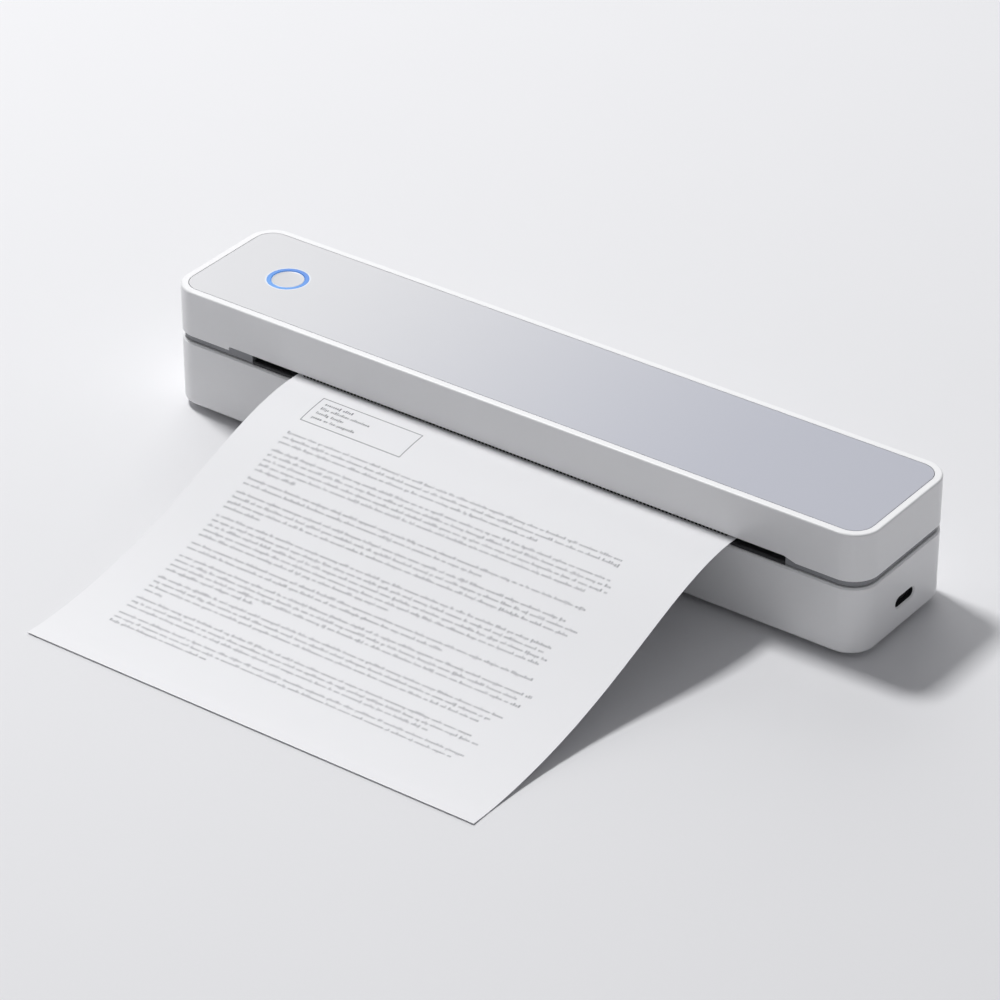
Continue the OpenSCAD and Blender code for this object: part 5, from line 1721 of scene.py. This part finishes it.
@dataclass
class HeaterLine:
    """The raised bead of glaze below the print head's ceramic, along which the dots are heated.

    Attributes:
        half_w: half the bead's width.
        drop: how far it stands below its root.
        sunk: how far its root lies inside the ceramic.
        end_in: how far it stops short of the ceramic's ends.
        steps: facets across the bead.
    """

    half_w: float = 0.6
    drop: float = 0.12
    sunk: float = 0.05
    end_in: float = 3.0
    steps: int = 8

    def build(self) -> None:
        """Builds the bead over the platen's middle, just clear of the sheet."""
        lo, hi = low("print_head_ceramic"), high("print_head_ceramic")
        middle = (low("platen_shaft").y + high("platen_shaft").y) / 2
        outline = [(middle + self.half_w * math.cos(a), lo.z + self.sunk - self.drop * math.sin(a))
                   for a in (math.pi * i / self.steps for i in range(self.steps + 1))]
        bead = Workshop.prism(outline, Axis.X, lo.x + self.end_in, hi.x - self.end_in)
        Workshop.dress(Workshop.mesh_object("heater_line", bead), HEATER_GLAZE, "print_head")


@dataclass
class PrintedSheet:
    """The sheet of paper in the slot, with lines of grey bars in place of words.

    Attributes:
        width: the sheet's width, which is A4's.
        middle_x: where its middle lies.
        tail_y: its end inside the printer.
        flat_y: where it starts to droop.
        mid_z: height of its middle line in the printer.
        reach: its far edge.
        out: how far on it still points straight out.
        back: how far before its far edge it starts to point along the ground.
        end_z: height of its middle line on the ground.
        curl: how far its far edge curls up.
        curl_run: length of that curl.
        curve_steps: points on the middle line.
        thickness: the sheet's thickness.
        across: cells of its mesh across it.
        along: cells of its mesh along it.
        ink: how far the print stands over the paper, thick enough to show.
        left: where the lines of words start.
        right: the least and the most of where a full line ends.
        first_line: where the first line is, from the tail.
        pitch: distance between lines.
        paragraph_gap: extra distance between paragraphs.
        x_height: height of a small bar.
        tall: height of a tall bar.
        tall_share: share of bars that are tall.
        drop: how far some bars reach below the line.
        drop_share: share of bars that do.
        letter: least and most width of a bar.
        letter_gap: gap between bars.
        word_gap: extra gap between words.
        word_letters: bars in a word, each count as often as it stands here.
        least_word: no word starts closer than this to the line's end.
        paragraphs: lines of each paragraph, and width of its last line.
        header_box: left, top, right and bottom of the frame.
        header_line: width of the frame's line.
        header_pieces: pieces of a line across and of one down, so that they bend with the sheet.
        header_left: where the header's lines start.
        header_top: where the first of them is.
        header_pitch: their distance, in lines of the body.
        header_widths: their widths.
        seed: seed of the random numbers.
    """

    width: float = 210.0
    middle_x: float = 4.2
    tail_y: float = 6.0
    flat_y: float = -34.0
    mid_z: float = 35.45
    reach: float = -198.0
    out: float = 45.0
    back: float = 83.0
    end_z: float = 0.15
    curl: float = 0.45
    curl_run: float = 14.0
    curve_steps: int = 400
    thickness: float = 0.2
    across: int = 30
    along: int = 110
    ink: float = 0.02
    left: float = -80.6
    right: tuple[float, float] = (76.5, 87.0)
    first_line: float = 69.9
    pitch: float = 2.854
    paragraph_gap: float = 1.924
    x_height: float = 0.95
    tall: float = 1.5
    tall_share: float = 0.22
    drop: float = 0.4
    drop_share: float = 0.08
    letter: tuple[float, float] = (0.3, 0.75)
    letter_gap: float = 0.42
    word_gap: float = 0.95
    word_letters: tuple[int, ...] = (2, 3, 4, 5, 5, 6, 7, 8, 9, 10)
    least_word: float = 1.5
    paragraphs: tuple[tuple[int, float], ...] = (
        (3, 126.5), (5, 20.8), (2, 117.2), (4, 19.8), (5, 92.0), (2, 124.7), (4, 43.6), (4, 9.2),
        (3, 143.2), (3, 47.8))
    header_box: tuple[float, float, float, float] = (-80.75, 45.85, -31.4, 61.7)
    header_line: float = 0.35
    header_pieces: tuple[int, int] = (24, 12)
    header_left: float = -77.4
    header_top: float = 49.2
    header_pitch: float = 1.05
    header_widths: tuple[float, ...] = (15.5, 25.0, 13.6, 23.5)
    seed: int = 11

    def line(self) -> list[Vector]:
        """Runs the sheet's middle line from its tail, level and then in one droop, to its far edge.

        Returns:
            Close points on the line.
        """
        p = [Vector((0, self.flat_y, self.mid_z)), Vector((0, self.flat_y - self.out, self.mid_z)),
             Vector((0, self.reach + self.back, self.end_z)), Vector((0, self.reach, self.end_z))]
        curve = [sum((p[k] * math.comb(3, k) * (1 - t) ** (3 - k) * t ** k for k in range(4)), Vector())
                 for t in (i / self.curve_steps for i in range(self.curve_steps + 1))]
        for point in curve:
            lifted = max(0.0, 1 - (point.y - self.reach) / self.curl_run)
            point.z += self.curl * lifted ** 2
        return [Vector((0, self.tail_y, self.mid_z)), *curve]

    def roll(self, bm: bmesh.types.BMesh) -> float:
        """Lays flat work, with X across the page and Y down it, on the sheet's curve.

        Args:
            bm: the flat mesh, whose points are moved; their Z is the height above the middle line.

        Returns:
            The sheet's whole length.
        """
        points = self.line()
        lengths = [0.0]
        for a, b in zip(points, points[1:]):
            lengths.append(lengths[-1] + (b - a).length)
        for vert in bm.verts:
            run = min(max(vert.co.y, 0.0), lengths[-1] - TINY)
            i = bisect_right(lengths, run) - 1
            part = (run - lengths[i]) / (lengths[i + 1] - lengths[i])
            tangent = (points[i + 1] - points[i]).normalized()
            place = points[i].lerp(points[i + 1], part)
            upward = tangent.cross(Axis.X.value)
            vert.co = Vector((vert.co.x, 0, 0)) + place + upward * vert.co.z
        return lengths[-1]

    def page(self) -> float:
        """Builds the sheet itself, and hides the plain node.

        Returns:
            The sheet's length.
        """
        points = self.line()
        length = sum((b - a).length for a, b in zip(points, points[1:]))
        bm = bmesh.new()
        half = Matrix.Diagonal((self.width / 2, length / 2, 1, 1))
        place = Matrix.Translation((self.middle_x, length / 2, self.thickness / 2)) @ half
        bmesh.ops.create_grid(bm, x_segments=self.across, y_segments=self.along, size=1.0, matrix=place)
        bmesh.ops.solidify(bm, geom=list(bm.faces), thickness=self.thickness)
        height = [v.co.z for v in bm.verts]
        shift = -(max(height) + min(height)) / 2
        bmesh.ops.translate(bm, verts=list(bm.verts), vec=(0, 0, shift))
        self.roll(bm)
        bmesh.ops.recalc_face_normals(bm, faces=list(bm.faces))
        sheet = Workshop.mesh_object("printed_page", bm)
        Workshop.dress(sheet, PAPER_WHITE, "sheet", ["paper_sheet"], sharp=SHARP_ROUND)
        return length

    def bar(self, bm: bmesh.types.BMesh, x0: float, y0: float, x1: float, y1: float) -> None:
        """Adds one flat bar of ink to the page."""
        base = self.thickness / 2
        Workshop.add_box(bm, (x0, y0, base - self.ink / 2), (x1, y1, base + self.ink))

    def words(self, left: float, foot: float, width: float, rng: random.Random) -> bmesh.types.BMesh:
        """Fills one line with words of small upright bars that spell nothing.

        Args:
            left: where the line starts.
            foot: how far down the page its foot is.
            width: how long it is.
            rng: the random numbers that shape it.

        Returns:
            The line, still flat.
        """
        bm = bmesh.new()
        x = left
        while x < left + width - self.least_word:
            for _ in range(rng.choice(self.word_letters)):
                wide = rng.uniform(*self.letter)
                if x + wide > left + width:
                    break
                tall = self.tall if rng.random() < self.tall_share else self.x_height
                drop = self.drop if rng.random() < self.drop_share else 0.0
                self.bar(bm, x, foot - tall, x + wide, foot + drop)
                x += wide + self.letter_gap
            x += self.word_gap
        return bm

    def body_text(self, rng: random.Random) -> None:
        """Builds the paragraphs.

        Args:
            rng: the random numbers that shape the words.
        """
        lines = []
        foot = self.first_line + self.x_height / 2
        for count, last in self.paragraphs:
            for i in range(count):
                full = rng.uniform(*self.right) - self.left
                lines.append(self.words(self.left, foot, last if i == count - 1 else full, rng))
                foot += self.pitch
            foot += self.paragraph_gap
        bm = Workshop.join(lines)
        self.roll(bm)
        Workshop.dress(Workshop.mesh_object("page_print", bm), PRINT_GREY, "sheet")

    def header(self, rng: random.Random) -> None:
        """Builds the framed block of short lines at the head of the page.

        Args:
            rng: the random numbers that shape the words.
        """
        bm = bmesh.new()
        x0, y0, x1, y1 = self.header_box
        t = self.header_line
        columns, rows = self.header_pieces
        for i in range(columns):
            a, b = (x0 + (x1 - x0) * k / columns for k in (i, i + 1))
            self.bar(bm, a, y0, b, y0 + t)
            self.bar(bm, a, y1 - t, b, y1)
        for i in range(rows):
            a, b = (y0 + t + (y1 - y0 - 2 * t) * k / rows for k in (i, i + 1))
            self.bar(bm, x0, a, x0 + t, b)
            self.bar(bm, x1 - t, a, x1, b)
        lines = [bm]
        for i, width in enumerate(self.header_widths):
            foot = self.header_top + self.x_height / 2 + i * self.pitch * self.header_pitch
            lines.append(self.words(self.header_left, foot, width, rng))
        bm = Workshop.join(lines)
        self.roll(bm)
        Workshop.dress(Workshop.mesh_object("page_header", bm), PRINT_DARK, "sheet")

    def build(self) -> None:
        """Builds the sheet and its print."""
        rng = random.Random(self.seed)
        length = self.page()
        self.header(rng)
        self.body_text(rng)
        LOG.info("sheet %.1f x %.1f mm", self.width, length)


UP, DOWN, LEFT = Axis.Z.value, -Axis.Z.value, -Axis.X.value

LEADS = (
    Lead("motor_lead", (
        (-111.3, 5.9, 12), (-109, 5.9, 12), (-106, 5, 11.4), (-103, 3, 10), (-99, 1, 8.6), (-94, 0, 8),
        (-70, 0, 8), (-40, 0, 8), (-10, 0, 8), (15, 0, 8), (27, -0.6, 8.4), (33, -2.4, 10.4),
        (38, -5.4, 13.4), (41.5, -7.4, 14.9), (46.3, -8, 15)), 0.9, LEAD_BLACK, "base"),
    Lead("battery_lead", (
        (32.9, 16, 20.5), (35, 16, 20.5), (37.5, 15.6, 20), (40, 14.2, 18.4), (42, 12, 16.2),
        (43.6, 10.6, 15.2), (46.3, 10, 15)), 0.9, LEAD_RED, "base"),
    Lead("button_lead", (
        (-118.2, 8, 48.2), (-115, 10, 48.2), (-111, 14, 47.4), (-107, 19, 46), (-103, 23, 45.4),
        (-97, 25.6, 45), (-90, 26, 45), (-50, 26, 45), (-10, 26, 45), (30, 26, 45), (70, 26, 45),
        (104, 26, 45), (110, 25.4, 44.8), (115, 24.4, 44.2), (119.6, 24, 43.6)), 0.7, LEAD_BLACK, "cover"))

RIBBONS = (
    Ribbon("ribbon_base", (
        (20.1, 14.2), (24.1, 14.4), (27.2, 17.2), (28.6, 21.2), (28.6, 31.2), (29.3, 32.4),
        (30.2, 33.15)), "base"),
    Ribbon("ribbon_cover", (
        (30.2, 33.65), (29.2, 34.6), (28.9, 36.0), (28.9, 40.0), (26.5, 42.0), (20.0, 43.25),
        (-8.3, 43.25)), "cover"))

SCREWS = (
    ScrewSet("case_screws", 1.2, 1.2, "base", DOWN), ScrewSet("plate_screws", 1.2, 1.2, "base", DOWN),
    ScrewSet("board_screws", 1.2, 1.2, "base", UP), ScrewSet("motor_screws", 0.8, 0.8, "base", LEFT),
    ScrewSet("liner_screws", 1.2, 1.2, "cover", DOWN),
    ScrewSet("button_board_screws", 0.8, 0.9, "cover", DOWN),
    ScrewSet("bracket_screws", 0.8, 0.9, "cover", DOWN))

EASED = (
    Eased("base_deck", DECK_GREY, "base", 0.2),
    Eased("left_side_plate", PLATE_STEEL, "base", 0.1),
    Eased("right_side_plate", PLATE_STEEL, "base", 0.1),
    Eased("platen_bushes", BUSH_BRONZE, "base", 0.12),
    Eased("idler_stud", SHAFT_STEEL, "base", 0.15),
    Eased("idler_clip", SPRING_STEEL, "base", 0.06),
    Eased("battery_cradle", INNER_BLACK, "base", 0.25),
    Eased("cell_tabs", CONTACT_NICKEL, "base", 0.05),
    Eased("main_board", BOARD_GREEN, "base", 0.08),
    Eased("board_chips", CHIP_BLACK, "base", 0.1),
    Eased("board_connectors", CONNECTOR_WHITE, "base", 0.12),
    Eased("paper_sensor", INNER_BLACK, "base", 0.12),
    Eased("latch_clips", SPRING_STEEL, "base", 0.08),
    Eased("hinge_pins", SHAFT_STEEL, "base", 0.12),
    Eased("cover_liner", LINER_GREY, "cover", 0.15),
    Eased("latch_studs", SHAFT_STEEL, "cover", 0.12),
    Eased("button_board", BOARD_GREEN, "cover", 0.08),
    Eased("status_leds", LED_BLUE, "cover", 0.08),
    Eased("tact_switch", INNER_BLACK, "cover", 0.12),
    Eased("head_bracket", PLATE_STEEL, "cover", 0.12),
    Eased("head_shoulder_screws", SCREW_STEEL, "cover", 0.12),
    Eased("print_head_heatsink", HEAD_ALUMINIUM, "print_head", 0.12),
    Eased("print_head_ceramic", HEAD_CERAMIC, "print_head", 0.08),
    Eased("driver_strip", INNER_BLACK, "print_head", 0.25),
    Eased("head_board", BOARD_GREEN, "print_head", 0.08),
    Eased("head_connector", CONNECTOR_BLACK, "print_head", 0.12),
    Eased("switch_plunger", INNER_BLACK, "power_button", 0.15),
    Eased("platen_gear", GEAR_ACETAL, "platen", 0.05),
    Eased("shaft_clips", SPRING_STEEL, "platen", 0.06),
    Eased("idler_gear", GEAR_ACETAL, "idler", 0.05),
    Eased("motor_shaft", SHAFT_STEEL, "motor_rotor", 0.1),
    Eased("motor_pinion", BUSH_BRONZE, "motor_rotor", 0.04))


def main() -> None:
    """Builds the studio and each sub-assembly in order, and reports each one."""
    logging.basicConfig(level=logging.INFO, format="%(name)s: %(message)s")
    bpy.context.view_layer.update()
    Studio().build()
    parts = (
        LowerShell(), Feet(), CoverShell(), TopPlate(), RingAndButton(), TearBar(), UsbPort(), Roller(),
        Motor(), Battery(), ChipPins(), HeadSprings(), HeaterLine(), *LEADS, *RIBBONS, *SCREWS, *EASED,
        PrintedSheet())
    for part in parts:
        part.build()
        LOG.info("built %s %s", type(part).__name__, getattr(part, "node", ""))


if __name__ == "__main__":
    main()
